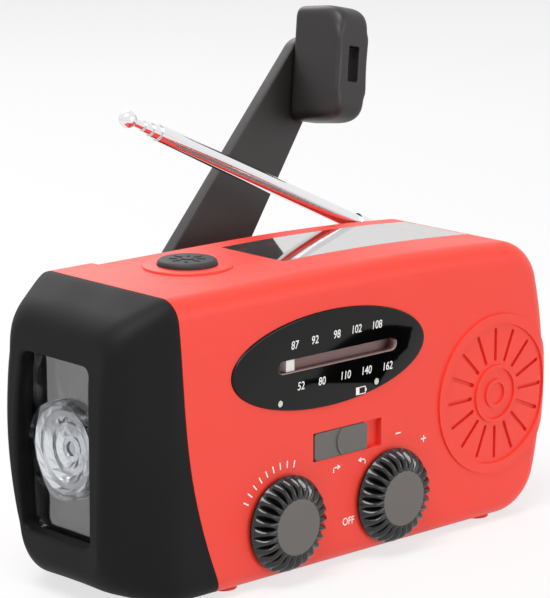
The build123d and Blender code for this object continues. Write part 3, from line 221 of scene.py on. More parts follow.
# %% Moulded plastics, rubbers and card
finishes = {
    # Hard ABS from a finely textured tool: satin, so lamps show as broad soft bands.
    "red_shell": moulded("red_abs", "#EE4031", 0.42, 0.30, 0.006, ior=1.45, spread=0.015),
    # Soft-touch rubber: nearly black, matt, with a weak broad sheen that shows along soft edges.
    "boot_rubber": moulded("soft_touch_rubber", "#0C0B0C", 0.60, 0.22, 0.010, ior=1.28, spread=0.04),
    "button_rubber": moulded("button_rubber", "#2A2A2A", 0.60, 0.25, 0.012, ior=1.45, spread=0.04),
    # On the knobs' caps this grey is painted light: the knobs' own black plastic as their face looks lit head
    # on.
    "grey_plastic": moulded("grey_abs_and_painted_lit_knob_face", "#63605D", 0.55, 0.25, 0.008, ior=1.45, spread=0.03),
    "black_plastic": moulded("black_abs", "#121212", 0.50, 0.25, 0.010),
    "white_plastic": moulded("white_acetal", "#F2F0EC", 0.40, 0.30, 0.004),
    # The knobs' tool is polished: glossy black, with a thin shine over it that rounds off the lobes.
    "knob_plastic": moulded("glossy_black_abs", "#050505", 0.22, 0.60, 0.003, coat=0.2),
    "gear_nylon": moulded("natural_nylon", "#E2DCCB", 0.45, 0.30, 0.004, spread=0.02),
    # The crank's tool is spark eroded: an even, slightly rough black, pale where light grazes it.
    "crank_plastic": moulded("spark_eroded_black_abs", "#1B1717", 0.46, 0.20, 0.014, spread=0.04),
    "battery_wrap": moulded("pvc_sleeve", "#2A4C8C", 0.25, 0.60, 0.003),
    "cone_paper": moulded("pressed_paper", "#1E1B1A", 0.80, 0.40, 0.030, spread=0.08),
    "magnet_ferrite": moulded("sintered_ferrite", "#2B2B2D", 0.55, 0.25, 0.020, spread=0.05),
    "cord_nylon": moulded("braided_nylon", "#C9C2AE", 0.60, 0.30, 0.040, spread=0.05),
    # Printed card a little paler than it looks, because it lies in its slot's shade.
    "dial_card": moulded("printed_card", "#9E8482", 0.60, 0.40, 0.004, spread=0.03),
    "circuit_board": moulded("solder_resist", "#1E5B35", 0.35, 0.50, 0.010, spread=0.05),
    # The lamps' epoxy is cast milky, so it is pale from every side.
    "led_epoxy": moulded("milky_epoxy", "#DAD8D2", 0.25, 0.50, 0.002, spread=0.02),
}
print(len(finishes), "moulded finishes")

# %% [markdown]
# ## Metals and clear plastics
# Chrome and foil reflect the room, so their colour is their reflection. The clear parts are thin
# mouldings. What lies behind them shows straight through, slightly tinted, and a gloss lies over it
# that grows where the view only grazes the surface, by Fresnel's law. That gives the look of a pane
# without the noise of refraction through loose triangles.

# %% Helper: metals
def metal(name, colour, roughness, grain_mm=0.8):
    """A bare metal whose roughness wavers with a noise by three tenths up and down."""
    made = bpy.data.materials.new(name)
    made.use_nodes = True
    tree = made.node_tree
    shader = tree.nodes["Principled BSDF"]
    shader.inputs["Metallic"].default_value = 1.0
    shader.inputs["Base Color"].default_value = linear(colour)
    place = add(tree, "ShaderNodeTexCoord").outputs["Object"]
    grain = add(tree, "ShaderNodeTexNoise", {"Vector": place, "Scale": 1 / (grain_mm * MM), "Detail": 3.0})
    rough = add(tree, "ShaderNodeMapRange", {"Value": grain.outputs[0], "To Min": roughness * 0.7,
                                             "To Max": roughness * 1.3, **NOISE_RANGE})
    tree.links.new(rough.outputs[0], shader.inputs["Roughness"])
    return made


# %% Helper: clear mouldings
def clear(name, colour, roughness, ior, mirror):
    """A thin clear moulding: what lies behind it, tinted, and a gloss mixed in by Fresnel's share.
    mirror is how much of the room it shows where the view only grazes it."""
    made = bpy.data.materials.new(name)
    made.use_nodes = True
    tree = made.node_tree
    tree.nodes.clear()
    place = add(tree, "ShaderNodeTexCoord").outputs["Object"]
    smear = add(tree, "ShaderNodeTexNoise", {"Vector": place, "Scale": 120.0, "Detail": 3.0})
    rough = add(tree, "ShaderNodeMapRange",
                {"Value": smear.outputs[0], "To Min": roughness, "To Max": roughness * 2})
    through = add(tree, "ShaderNodeBsdfTransparent", {"Color": linear(colour)})
    gloss = add(tree, "ShaderNodeBsdfGlossy", {"Roughness": rough.outputs[0]})
    edge = add(tree, "ShaderNodeFresnel", {"IOR": ior})
    # Head on, Fresnel's share of such plastic is 0.03 to 0.05; from 0.30 up the view grazes it.
    share = add(tree, "ShaderNodeMapRange", {"Value": edge.outputs[0], "From Min": 0.03, "From Max": 0.30,
                                             "To Min": 0.05, "To Max": mirror})
    both = add(tree, "ShaderNodeMixShader", {0: share.outputs[0], 1: through.outputs[0], 2: gloss.outputs[0]})
    add(tree, "ShaderNodeOutputMaterial", {"Surface": both.outputs[0]})
    return made


# %% Metals and clear plastics
finishes.update({
    "antenna_chrome": metal("chrome_plate", "#EAEAEC", 0.06),
    # Vacuum metallised plastic is nearly a mirror, so it shows the white room in front of it.
    "silver_reflector": metal("vacuum_metallised_plastic", "#F4F4F4", 0.13),
    "steel": metal("zinc_plated_steel", "#B8B8B6", 0.35),
    "brass": metal("turned_brass", "#D9B36A", 0.30),
    "copper_wire": metal("enamelled_copper", "#C87A4A", 0.30),
    "clear_window": clear("clear_polycarbonate", "#F7F6F6", 0.03, 1.58, 0.88),
    "clear_lens": clear("clear_acrylic", "#EEF0F2", 0.03, 1.49, 0.80),
})
print(len(finishes), "finishes with the metals and clear plastics")

# %% [markdown]
# ## The solar cell
# A small amorphous cell is a purple-brown film under glass, divided by fine pale lines into strips in
# series. The lines are drawn with a sawtooth of the X coordinate, 9 mm apart and 0.25 mm wide.

# %% Solar cell
HALF_STRIP, LINE = 4.5 * MM, 0.25 * MM
finishes["solar_silicon"] = moulded("amorphous_silicon", "#4B1A2E", 0.15, 0.60, 0.001, ior=1.6)
tree = finishes["solar_silicon"].node_tree
shader = tree.nodes["Principled BSDF"]
film = shader.inputs["Base Color"].links[0].from_socket
across = add(tree, "ShaderNodeSeparateXYZ", {0: add(tree, "ShaderNodeTexCoord").outputs["Object"]})
saw = add(tree, "ShaderNodeMath", {0: across.outputs["X"], 1: HALF_STRIP}, operation="PINGPONG")
on_line = add(tree, "ShaderNodeMath", {0: saw.outputs[0], 1: LINE / 2}, operation="LESS_THAN")
film_and_lines = add(tree, "ShaderNodeMix", {0: on_line.outputs[0], 6: film, 7: linear("#9B8C8C")},
                     data_type="RGBA")
tree.links.new(film_and_lines.outputs[2], shader.inputs["Base Color"])

# %% [markdown]
# ## The dial pane
# The dial is a gloss black acrylic oval, polished and with next to no grain. In the photograph a
# hard-edged reflection crosses it: its right part mirrors something dark and its left part the pale
# room. The pane itself is one plain black, and what it mirrors makes the two halves.

# %% Dial pane
finishes["black_gloss"] = moulded("gloss_black_acrylic", "#060607", 0.05, 4.0, 0.0002, ior=1.33)

# %% [markdown]
# ## The black card
# A photographer lays a black card beside a glossy product to get such a dark half with a hard edge.
# From the camera the pane mirrors the floor in front of it, so the card lies there. Its left edge is
# the wanted edge on the dial, carried down along the mirrored view. It is seen only in gloss, and
# neither shades the product nor shows itself.

# %% Black card beside the product, seen only in gloss
DIAL_FACE = -22.9               # the front of the dial's pane, y in millimetres
DARK_EDGE = ((-12.0, 30.0), (12.5, 62.7))       # where the dark half begins on the dial, x and z
MIRROR_X, MIRROR_Y = 3.0, -3.27                 # how far the mirrored view moves for each mm of height
CARD_WIDTH, CARD_HEIGHT = 60, 0.4

near, far = ((x + MIRROR_X * z, DIAL_FACE + MIRROR_Y * z) for x, z in DARK_EDGE)
corners = [(near[0], near[1]), (near[0] + CARD_WIDTH, near[1]),
           (far[0] + CARD_WIDTH, far[1]), (far[0], far[1])]
flag = new_mesh("black_card", np.array([(x, y, CARD_HEIGHT) for x, y in corners]) * MM, [(0, 3, 2, 1)])
flag.visible_camera = flag.visible_diffuse = flag.visible_shadow = flag.visible_transmission = False
flag.data.materials.append(bpy.data.materials.new("black_velvet"))
flag.data.materials[0].use_nodes = True
tree = flag.data.materials[0].node_tree
tree.nodes.clear()
velvet = add(tree, "ShaderNodeBsdfDiffuse", {"Color": linear("#020202")})
add(tree, "ShaderNodeOutputMaterial", {"Surface": velvet.outputs[0]})

# %% [markdown]
# ## The solid model's nodes
# The solid model comes as loose triangles. Each node gets the finish that its record names. Welded,
# and split again only at real edges, its round forms shade round and its corners stay crisp.

# %% Dress the solid nodes
def smooth_solid(made, angle=32):
    """Welds points closer than a micrometre and splits them again at edges sharper than this angle."""
    made.data.polygons.foreach_set("use_smooth", np.ones(len(made.data.polygons), bool))
    weld = made.modifiers.new("weld", "WELD")
    weld.merge_threshold = 1e-6
    split = made.modifiers.new("edges", "EDGE_SPLIT")
    split.split_angle = math.radians(angle)


for part in frame["record"]["subparts"]:
    made = nodes[part["node"]]
    made.data.materials.clear()
    made.data.materials.append(finishes[part["material_slot"]])
    smooth_solid(made)

# %% [markdown]
# ## Dressing pieces
# Every piece made below belongs to a moving body, or stands for a node of the solid model. One helper
# settles that: the finish, the body it rides on, and the node it replaces, if it replaces one. Two
# more turn rows of points into the faces of a skin.

# %% Helpers: finish a piece, and faces over rows of points
def finish(piece, slot, body, *replaced, look=None):
    """Gives a piece this slot's finish, or another look, lets it ride on a body, and lets
    it stand for solid nodes."""
    piece.data.materials.clear()
    piece.data.materials.append(look or finishes[slot])
    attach(piece, body)
    if replaced:
        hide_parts(*replaced)
    return piece


def grid_faces(rows, columns):
    """Quads over rows x columns points, each row a ring whose last column joins the first again."""
    row, column = np.mgrid[0:rows - 1, 0:columns]
    after = (column + 1) % columns
    quads = np.stack([row * columns + column, row * columns + after,
                      (row + 1) * columns + after, (row + 1) * columns + column], axis=-1)
    return quads.reshape(-1, 4)


def closed_faces(rows, columns, turned=False):
    """The quads of a grid of rings, with its first and last ring as faces; turned faces all the other way."""
    first = tuple(range(columns))
    last = tuple(range(rows * columns - 1, (rows - 1) * columns - 1, -1))
    quads = [tuple(face) for face in grid_faces(rows, columns)]
    if turned:
        return [face[::-1] for face in quads] + [first, last]
    return quads + [first[::-1], last[::-1]]


# %% [markdown]
# ## Soft corners
# The boot and the crank's handle have edges so soft that they show as broad pale bands. Each is made
# as one skin: rounded outlines stand along a path, and the skin runs through them. Every corner, of an
# outline and of the path, is a quadratic curve, so the skin has no sharp edge anywhere.

# %% Helpers for soft corners
CORNER_POINTS, SIDE_POINTS = 13, 17     # points of an outline round a corner, and along a side


def soft_corner(before, corner, after, cut_before, cut_after, steps):
    """A quadratic curve round a corner: (1-s)^2 A + 2 s (1-s) corner + s^2 B, where A and B lie on the
    two arms, a cut's length from the corner but never past the middle of the arm."""
    def on_arm(other, cut):
        arm = other - corner
        length = np.linalg.norm(arm, axis=-1, keepdims=True)
        return corner + arm * np.minimum(cut / np.maximum(length, 1e-9), 0.48)
    first, last = on_arm(before, cut_before), on_arm(after, cut_after)
    s = np.linspace(0, 1, steps).reshape(-1, *[1] * corner.ndim)
    return (1 - s) ** 2 * first + 2 * s * (1 - s) * corner + s ** 2 * last


def outline(top, middle, low, z_low, z_top, cut, centre=0.0):
    """A closed outline in y and z with soft corners. Its sides are straight lines from low to top, bowed
    towards the parabola through low, middle and top, by a share that fades out at the corners."""
    heights = np.array([z_low, (z_low + z_top) / 2, z_top])
    width = np.polyfit(heights, [low, middle, top], 2)
    corners = np.array([(-top, z_top), (top, z_top), (low, z_low), (-low, z_low)])
    points = []
    for index, corner in enumerate(corners):
        before, after = corners[index - 1], corners[(index + 1) % 4]
        points.append(soft_corner(before, corner, after, cut, cut, CORNER_POINTS))
        start, stop = points[-1][-1], after + (corner - after) * cut / np.linalg.norm(corner - after)
        run = start + (stop - start) * np.linspace(0, 1, SIDE_POINTS + 2)[1:-1, None]
        if index % 2:           # corners 1 and 3 begin the two upright sides
            straight = np.interp(run[:, 1], [z_low, z_top], [low, top])
            bow = np.sign(corner[0]) * (np.polyval(width, run[:, 1]) - straight)
            run[:, 0] += bow * np.sin(np.linspace(0, np.pi, SIDE_POINTS)) ** 0.5
        points.append(run)
    points = np.concatenate(points)
    points[:, 0] += centre
    return points


def soft_skin(stations, bends):
    """Rows of points through these outlines. Each bend (cut before, cut after, steps, run) rounds the
    path at the next inner outline, and run rows lie on the straight way to it."""
    rows = [stations[0][None]]
    for index, (cut_before, cut_after, steps, run) in enumerate(bends, start=1):
        before, corner, after = stations[index - 1:index + 2]
        bend = soft_corner(before, corner, after, cut_before, cut_after, steps)
        way = np.linspace(0, 1, run + 2)[1:-1, None, None]
        rows += [rows[-1][-1] * (1 - way) + bend[0] * way, bend]
    return np.concatenate(rows + [stations[-1][None]])


# %% [markdown]
# ## The rubber boot
# The boot is a thick soft moulding drawn over the torch end. Its skin's path starts inside the curved
# seam, runs over the side, draws in towards the end, rounds the end face and goes down into the
# torch's opening. Solidify gives it a wall.

# %% The boot's outlines
SEAM = np.polyfit([70, 58, 42, 28, 14.5, -2], [-50, -48.4, -47.2, -45.4, -42, -35.6], 5)     # x over z
SEAM_LIMIT = -36.92             # the seam's furthest x, at its lowest point
TAPER = -50.2                   # x where the sides begin to draw in
END, END_MIDDLE, END_HALF = -64.0, 32.6, 28.0   # the end face's x, its middle's z and half its height
END_BULGE = 2.2                 # how far the end face's top and bottom lean back, in millimetres
PANE_FRONT = -59.45             # x where the opening meets the torch's pane
BOOT_WALL = 1.4


def end_plane(z):
    """The end face: x = end + bulge * ((z - middle) / half height) squared."""
    return END + END_BULGE * ((z - END_MIDDLE) / END_HALF) ** 2


def boot_stations():
    """The outlines that the skin passes through, from the lip inside the seam to the torch's pane."""
    body = outline(22.5, 22.5, 22.5, 0.9, 66.5, 5.2)
    face = outline(17.9, 16.9, 13.2, 4.6, 60.6, 6.5)
    opening = outline(11.2, 12.0, 11.2, 13.5, 52.5, 2.6, centre=1.0)
    seam_x = np.minimum(np.polyval(SEAM, body[:, 1]), SEAM_LIMIT)
    middle = np.array([0, 33.7])
    lip = middle + (body - middle) * 0.94
    flat = [(seam_x, lip), (seam_x, body), (np.minimum(TAPER, seam_x - 0.5), body),
            (end_plane(face[:, 1]), face), (end_plane(opening[:, 1]), opening),
            (np.full(len(opening), PANE_FRONT), opening)]
    return [np.column_stack([x, points]) for x, points in flat]


# %% The boot's skin
skin = soft_skin(boot_stations(), [(0.4, 0.4, 5, 5), (4.0, 4.0, 9, 5), (6.0, 3.6, 15, 5), (0.9, 0.9, 7, 5)])
boot = new_mesh("soft_boot", skin.reshape(-1, 3) * MM, grid_faces(*skin.shape[:2]))
wall = boot.modifiers.new("wall", "SOLIDIFY")
wall.thickness, wall.offset, wall.use_quality_normals = BOOT_WALL * MM, -1, True
finish(boot, "boot_rubber", "root", "end_boot")
print("boot skin:", skin.shape[0], "x", skin.shape[1], "points, box", skin.reshape(-1, 3).min(0).round(2),
      skin.reshape(-1, 3).max(0).round(2))

# %% [markdown]
# ## The torch's facets
# Behind the clear lens of a small torch sits a bowl of bright foil-like facets round the LED. Each
# facet mirrors another part of the room, which makes the lively light and dark pattern in the lens.
# The bowl is a paraboloid in rings of flat facets, every next ring turned by half a facet more.

# %% Faceted bowl
LENS_Y, LENS_Z = 1.0, 32.5
BOWL_RINGS = np.array([1.6, 2.9, 4.3, 5.8, 7.3, 8.6, 9.7])      # radii in millimetres
BOWL_RIPPLE = 0.22 * np.array([0, 1, -1, 1, -1, 1, 0])          # and how far each ring stands back
BOWL_FLOOR, BOWL_RISE = -58.5, 2.1


def faceted_bowl(sides=16):
    """Rings on x = floor - rise * (r / rim) squared, with a small ripple of the depth from ring to ring."""
    radius = BOWL_RINGS[:, None]
    turn = (np.arange(sides)[None, :] + np.arange(len(radius))[:, None] * 0.5) * 2 * np.pi / sides
    depth = BOWL_FLOOR - BOWL_RISE * (radius / BOWL_RINGS[-1]) ** 2 + BOWL_RIPPLE[:, None]
    return np.stack([depth + 0 * turn, LENS_Y + radius * np.cos(turn), LENS_Z + radius * np.sin(turn)],
                    axis=-1)


bowl_points = faceted_bowl()
quads = grid_faces(*bowl_points.shape[:2])
triangles = np.concatenate([quads[:, [0, 2, 1]], quads[:, [0, 3, 2]]])
bowl = new_mesh("torch_facets", bowl_points.reshape(-1, 3) * MM, triangles, smooth=False)
thin = bowl.modifiers.new("wall", "SOLIDIFY")
thin.thickness, thin.offset = 0.15 * MM, -1
finish(bowl, "silver_reflector", "root", look=metal("bright_metallised_facets", "#F2F2F4", 0.10))
print("torch bowl:", len(triangles), "facets")

# %% [markdown]
# ## The crank's handle
# The handle is a thick rounded grip whose free end is drawn in at its short sides, with a small pocket
# moulded into that end. It is one skin again: a rounded outline carried along the pin's axis, over the
# end and down into the pocket. The cut of its end corner is long on the grip's short sides and short
# on its long ones, which gives the large round shoulders.

# %% The handle's place
# The arm's own axes: x runs along the arm, z along the pin. The grip is turned about the pin from them.
TILT, LEAN, GRIP_TURN = (math.radians(angle) for angle in (45.6, 8.5, 33.0))
ARM_X = np.array([np.cos(TILT) * np.cos(LEAN), np.sin(LEAN), np.sin(TILT) * np.cos(LEAN)])
ARM_Z = np.array([np.cos(TILT) * np.sin(LEAN), -np.cos(LEAN), np.sin(TILT) * np.sin(LEAN)])
ARM_Y = np.cross(ARM_Z, ARM_X)
GRIP_X = ARM_X * np.cos(GRIP_TURN) + ARM_Y * np.sin(GRIP_TURN)
GRIP_Y = np.cross(ARM_Z, GRIP_X)

ARM_ROOT = np.array([-12.6, 28.0, 41.0])
PIN_REACH, GRIP_GAP = 82.2, 2.0         # from the root to the pin, and from the arm to the grip
GRIP_BASE = ARM_ROOT + PIN_REACH * ARM_X + GRIP_GAP * ARM_Z

# %% The handle's skin
HALF_LONG, HALF_WIDE, GRIP_DEPTH = 13.6, 5.5, 14.0
POCKET, POCKET_DEPTH = (4.1, 1.8, 0.5), 3.6     # the pocket's half length, half width and corner
SHOULDER = 0.45                 # the share of the half length at which the end begins to draw in


def grip_level(long, wide, cut, depth):
    """An outline of this half length and half width at a depth along the pin, in the grip's own axes."""
    flat = outline(wide, wide, wide, -long, long, cut)
    return np.column_stack([flat[:, 1], flat[:, 0], np.full(len(flat), depth)])


levels = [grip_level(12.6, 4.5, 2.5, 0.0), grip_level(HALF_LONG, HALF_WIDE, 3.0, 0.0),
          grip_level(HALF_LONG, HALF_WIDE, 3.0, GRIP_DEPTH), grip_level(*POCKET, GRIP_DEPTH),
          grip_level(*POCKET, GRIP_DEPTH - POCKET_DEPTH)]
toward_end = np.clip((np.abs(levels[2][:, :1]) / HALF_LONG - SHOULDER) / (1 - SHOULDER), 0, 1)
toward_end = toward_end ** 2 * (3 - 2 * toward_end)     # eased, so that the shoulder begins unseen
grip = soft_skin(levels, [(1.0, 1.2, 6, 0), (1.8 + 6.0 * toward_end, 1.6 + 6.0 * toward_end, 13, 5),
                          (0.35, 0.35, 4, 5)])
placed = GRIP_BASE + grip.reshape(-1, 3) @ np.array([GRIP_X, GRIP_Y, ARM_Z])
finish(new_mesh("soft_grip", placed * MM, closed_faces(*grip.shape[:2])), "crank_plastic", "handle",
       "crank_knob")
print("grip box", placed.min(axis=0).round(1), placed.max(axis=0).round(1))

# %% [markdown]
# ## Knobs
# Each knob is a black dome with 26 thick rounded lobes that run up to the edge of its flat face. The face
# is painted grey: painted light, the knob's own black plastic as it looks lit head on.
# It is one surface between two profiles, one over the crests and one along the valleys: at angle a
# the share of the valley is 1 - |cos(13 a)|, which makes round lobes with sharp valleys between.

# %% The knobs' dome
KNOB_Z = 13.4
FRONT = -22.5                   # the case's front face, y in millimetres
LOBES, POINTS_PER_LOBE, PROFILE_POINTS = 26, 14, 57
KNOBS = {"tuning_knob": (-19.4, "tuning"), "volume_knob": (12.3, "volume")}     # middle in x, body
KNOB_PROFILE = np.array([       # crest radius, crest height, valley radius, valley height
    (2.0, 0.35, 2.0, 0.35), (10.3, 0.32, 10.3, 0.32), (10.55, 0.5, 10.55, 0.5), (10.6, 0.95, 10.6, 0.95),
    (10.45, 1.2, 10.4, 1.12), (10.2, 1.7, 10.0, 1.2), (9.85, 2.4, 9.4, 1.5), (9.4, 3.1, 8.7, 2.1),
    (8.8, 3.7, 7.9, 2.8), (8.1, 4.1, 7.2, 3.35), (7.4, 4.28, 6.6, 3.85), (6.8, 4.34, 6.25, 4.15),
    (6.2, 4.36, 6.0, 4.3), (5.9, 4.36, 5.85, 4.34), (1.5, 4.34, 1.5, 4.34)])


def knob_surface(x):
    """The lobed dome about a line along Y through x: radius and height go from the crest's to the
    valley's profile by the valley's share 1 - |cos(lobes / 2 * angle)|."""
    steps = np.linspace(0, len(KNOB_PROFILE) - 1, PROFILE_POINTS)
    column = [np.interp(steps, np.arange(len(KNOB_PROFILE)), values)[:, None] for values in KNOB_PROFILE.T]
    turn = np.linspace(0, 2 * np.pi, LOBES * POINTS_PER_LOBE, endpoint=False)[None, :]
    valley = 1 - np.abs(np.cos(turn * LOBES / 2))
    around = column[0] + (column[2] - column[0]) * valley
    height = column[1] + (column[3] - column[1]) * valley
    return np.stack([x + around * np.cos(turn), FRONT - height, KNOB_Z + around * np.sin(turn)], axis=-1)


# %% The knobs' cap
CAP_SIDES = 96
CAP_PROFILE = np.array([(6.15, 4.2), (6.15, 4.34), (6.05, 4.385), (5.9, 4.395)])        # radius, height


def cap_surface(x):
    """The thin round cap on the dome's flat face: its profile turned about the same line."""
    turn = np.linspace(0, 2 * np.pi, CAP_SIDES, endpoint=False)[None, :]
    radius, height = CAP_PROFILE[:, 0][:, None], CAP_PROFILE[:, 1][:, None]
    return np.stack([x + radius * np.cos(turn), FRONT - height + 0 * turn, KNOB_Z + radius * np.sin(turn)],
                    axis=-1)


for name, (x, body) in KNOBS.items():
    dome, cap = knob_surface(x), cap_surface(x)
    knob = new_mesh(name + "_lobed", dome.reshape(-1, 3) * MM, closed_faces(*dome.shape[:2], turned=True))
    smooth_solid(knob, 40)
    finish(knob, "knob_plastic", body, name)
    # The cap is the knob's own black plastic drawn grey: painted light, its face as it looks lit head on.
    finish(new_mesh(name + "_painted_lit_cap", cap.reshape(-1, 3) * MM, closed_faces(*cap.shape[:2], turned=True),
                    smooth=False), "grey_plastic", body)
    print(name, "lobed surface with", dome.shape[0] * dome.shape[1], "points")

# %% [markdown]
# ## Dial scale
# The scale is printed in white on the pane: two rows of plain numbers, one above and one below the
# pointer's slot, and a battery symbol. Each number is a text object in Blender's own font, made a mesh
# and laid flat on the pane, slightly slanted as printed figures on such dials are.

# %% Helpers for flat marks
NARROW = 0.85                   # printed figures on such dials are narrower than Blender's font
BOLDER = 0.02                   # and a little bolder, in millimetres on each side


def flat_text(name, words, x, z, size, y, shear=0.12):
    """Words as a mesh in the XZ plane, facing the front, with their middle at (x, z)."""
    letters = bpy.data.curves.new(name, "FONT")
    letters.body, letters.size, letters.shear = words, size * MM, shear
    letters.align_x, letters.align_y = "CENTER", "CENTER"
    letters.offset = BOLDER * MM
    maker = bpy.data.objects.new(name, letters)
    bpy.context.scene.collection.objects.link(maker)
    mesh = bpy.data.meshes.new_from_object(maker.evaluated_get(bpy.context.evaluated_depsgraph_get()))
    bpy.data.objects.remove(maker)
    flat = np.empty(len(mesh.vertices) * 3)
    mesh.vertices.foreach_get("co", flat)
    flat = flat.reshape(-1, 3)
    middle = (flat.min(axis=0) + flat.max(axis=0)) / 2
    points = np.stack([x * MM + (flat[:, 0] - middle[0]) * NARROW, np.full(len(flat), y * MM),
                       z * MM + flat[:, 1] - middle[1]], axis=-1)
    return points, [tuple(face.vertices) for face in mesh.polygons]


def joined(parts):
    """Several (points, faces) lists as one, with the faces counted on from the points before them."""
    starts = np.cumsum([0] + [len(points) for points, _ in parts])
    faces = [tuple(index + start for index in face)
             for (_, own_faces), start in zip(parts, starts) for face in own_faces]
    return np.concatenate([points for points, _ in parts]), faces


def rectangle(x, z, y):
    """A flat rectangle facing the front, from x[0] to x[1] and z[0] to z[1]."""
    corners = [(x[0], y, z[0]), (x[1], y, z[0]), (x[1], y, z[1]), (x[0], y, z[1])]
    return np.array(corners) * MM, [(0, 1, 2, 3)]


# %% Dial numbers and battery symbol
PROUD = 0.02                    # printed marks stand this far out, so that they never flicker
FIGURE_SIZE = 2.5
DIAL_PRINT = DIAL_FACE - PROUD
NUMBERS = {                     # the number and its middle on the dial, x and z in millimetres
    "87": (-16.8, 52.2), "92": (-11.0, 52.4), "98": (-4.5, 52.6), "102": (1.4, 52.8), "108": (7.6, 52.8),
    "52": (-15.1, 43.0), "80": (-8.9, 43.0), "110": (-1.8, 43.1), "140": (4.5, 43.1), "162": (10.9, 43.0),
}
BATTERY = [                     # its four sides, its tip and one bar of charge, each by its x and z ranges
    ((1.2, 4.1), (39.5, 39.7)), ((1.2, 4.1), (38.0, 38.2)), ((1.2, 1.4), (38.2, 39.5)),
    ((3.9, 4.1), (38.2, 39.5)), ((4.1, 4.4), (38.5, 39.2)), ((1.4, 2.2), (38.2, 39.5)),
]

marks = [flat_text("mark", words, x, z, FIGURE_SIZE, DIAL_PRINT) for words, (x, z) in NUMBERS.items()]
marks += [rectangle(x, z, DIAL_PRINT) for x, z in BATTERY]
finish(new_mesh("dial_scale_print", *joined(marks), smooth=False), "white_plastic", "root")
print("dial scale:", len(marks), "marks")

# %% [markdown]
# ## Marks on the case
# Round the knobs and the switch the case carries small white pad-printed marks: an arc of ticks over
# the tuning knob, a minus and a plus over the volume knob, two hooked arrows under the switch, and OFF
# between the knobs.

# %% Helpers for the case's marks
CASE_PRINT = FRONT - PROUD


def arc_ticks(x, start, stop, count, inner, outer, half):
    """Radial strokes about a knob's middle, between two angles in degrees and two radii."""
    parts = []
    for angle in np.radians(np.linspace(start, stop, count)):
        along = np.array([np.cos(angle), np.sin(angle)])
        side = np.array([-along[1], along[0]]) * half
        flat = [along * inner - side, along * outer - side, along * outer + side, along * inner + side]
        points = np.array([(x + p[0], CASE_PRINT, KNOB_Z + p[1]) for p in flat]) * MM
        parts.append((points, [(3, 2, 1, 0)]))
    return parts


def hook(x, z, way):
    """A small hooked arrow: an upright stroke, a level one, and a head that points along way."""
    head = np.array([(x + way * 2.3, CASE_PRINT, z), (x + way * 1.3, CASE_PRINT, z + 0.6),
                     (x + way * 1.3, CASE_PRINT, z - 0.6)]) * MM
    return [rectangle(sorted((x, x + way * 1.4)), (z - 0.14, z + 0.14), CASE_PRINT),
            rectangle(sorted((x, x + way * 0.28)), (z - 1.1, z + 0.14), CASE_PRINT),
            (head, [(0, 1, 2) if way < 0 else (0, 2, 1)])]


def sign(x, z, upright):
    """A minus, or with its upright strokes a plus."""
    long, thin = 0.8, 0.15      # half the length and half the thickness of a stroke
    strokes = [((x - long, x + long), (z - thin, z + thin))]
    if upright:
        strokes += [((x - thin, x + thin), reach) for reach in ((z + thin, z + long), (z - long, z - thin))]
    return [rectangle(*stroke, CASE_PRINT) for stroke in strokes]


# %% Marks on the case
prints = arc_ticks(KNOBS["tuning_knob"][0], start=78, stop=150, count=9, inner=12.1, outer=13.7, half=0.16)
prints += hook(-5.2, 22.8, 1) + hook(4.6, 23.1, -1)
prints += sign(14.6, 27.0, upright=False) + sign(22.6, 24.3, upright=True)
prints.append(flat_text("off_mark", "OFF", -0.5, 10.0, 2.4, CASE_PRINT, shear=0.0))
finish(new_mesh("case_print", *joined(prints), smooth=False), "white_plastic", "root")
print("case:", len(prints), "printed shapes")

# %% [markdown]
# ## Slot liner, grille screen and button mark
# Three small things finish the front. The pointer's slot is lined in the colour of its card, so that
# no red edge shows through the pane. Behind the grille lies a red dust screen, which is why its slits
# read as shallow grooves. The torch button carries a raised mark, here a plain sun of a disc and rays.

# %% Slot liner
SLOT_X, SLOT_Z, SLOT_LENGTH, SLOT_HEIGHT = -4.0, 47.7, 35.26, 3.06
SLOT_FRONT, SLOT_BACK = -22.86, -20.56


def stadium(x, z, length, height, steps=24):
    """A round-ended slot's outline in x and z: two half circles joined by straight runs."""
    turn = np.linspace(-np.pi / 2, np.pi / 2, steps)
    half, radius = length / 2 - height / 2, height / 2
    right = np.column_stack([x + half + radius * np.cos(turn), z + radius * np.sin(turn)])
    return np.concatenate([right, 2 * np.array([x, z]) - right])


ring = stadium(SLOT_X, SLOT_Z, SLOT_LENGTH, SLOT_HEIGHT)
liner = np.stack([np.column_stack([ring[:, 0], np.full(len(ring), y), ring[:, 1]])
                  for y in (SLOT_FRONT, SLOT_BACK)])
liner_made = new_mesh("slot_liner", liner.reshape(-1, 3) * MM, grid_faces(*liner.shape[:2])[:, ::-1])
sheet = liner_made.modifiers.new("wall", "SOLIDIFY")
sheet.thickness, sheet.offset = 0.03 * MM, -1
finish(liner_made, "dial_card", "root")

# %% Grille screen
SPEAKER_X, SPEAKER_Z = 45.6, 30.6
SCREEN_RIM, SCREEN_HOLE = 15.6, 7.0     # its two radii
SCREEN_FRONT, SCREEN_BACK = -21.75, -21.45
SCREEN_SIDES = 96

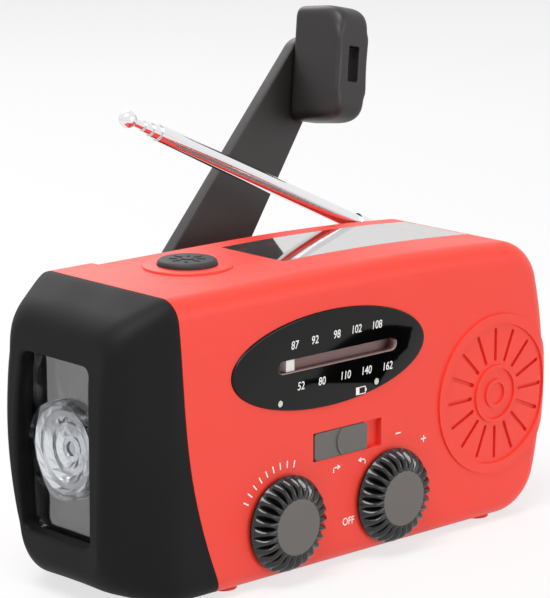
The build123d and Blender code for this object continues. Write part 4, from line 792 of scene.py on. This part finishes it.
turn = np.linspace(0, 2 * np.pi, SCREEN_SIDES, endpoint=False)
section = ((SCREEN_RIM, SCREEN_FRONT), (SCREEN_HOLE, SCREEN_FRONT), (SCREEN_HOLE, SCREEN_BACK),
           (SCREEN_RIM, SCREEN_BACK))
screen = np.stack([np.column_stack([SPEAKER_X + radius * np.cos(turn), np.full(SCREEN_SIDES, y),
                                    SPEAKER_Z + radius * np.sin(turn)]) for radius, y in section])
step = np.arange(SCREEN_SIDES)
after, last = (step + 1) % SCREEN_SIDES, 3 * SCREEN_SIDES
closing = np.column_stack([last + step, last + after, after, step])
quads = np.concatenate([grid_faces(len(section), SCREEN_SIDES), closing])
finish(new_mesh("grille_screen", screen.reshape(-1, 3) * MM, quads, smooth=False), "red_shell", "root")

# %% Button mark
MARK_MIDDLE, MARK_Z = np.array([-25.2, 2.0]), 68.2
RAYS, RAY_INNER, RAY_OUTER, RAY_HALF = 8, 2.1, 3.9, 0.32
SUN_RADIUS = 1.35


def raised(flat, sunk=-0.05, height=0.16):
    """A flat outline given in x and y as a small block on the button's top, from sunk to height."""
    count = len(flat)
    low, high = (np.column_stack([flat, np.full(count, MARK_Z + z)]) for z in (sunk, height))
    step = np.arange(count)
    sides = np.column_stack([step, (step + 1) % count, (step + 1) % count + count, step + count])
    faces = [tuple(side) for side in sides] + [tuple(step + count), tuple(step[::-1])]
    return np.concatenate([low, high]) * MM, faces


turn = np.linspace(0, 2 * np.pi, 32, endpoint=False)
sun = [raised(MARK_MIDDLE + SUN_RADIUS * np.column_stack([np.cos(turn), np.sin(turn)]))]
for angle in np.arange(RAYS) * 2 * np.pi / RAYS:
    along = np.array([np.cos(angle), np.sin(angle)])
    across = np.array([-along[1], along[0]]) * RAY_HALF
    sun.append(raised(MARK_MIDDLE + np.array([along * RAY_INNER - across, along * RAY_OUTER - across,
                                              along * RAY_OUTER + across, along * RAY_INNER + across])))
finish(new_mesh("button_sun_mark", *joined(sun), smooth=False), "button_rubber", "button")
print("sun mark:", len(sun), "raised shapes")
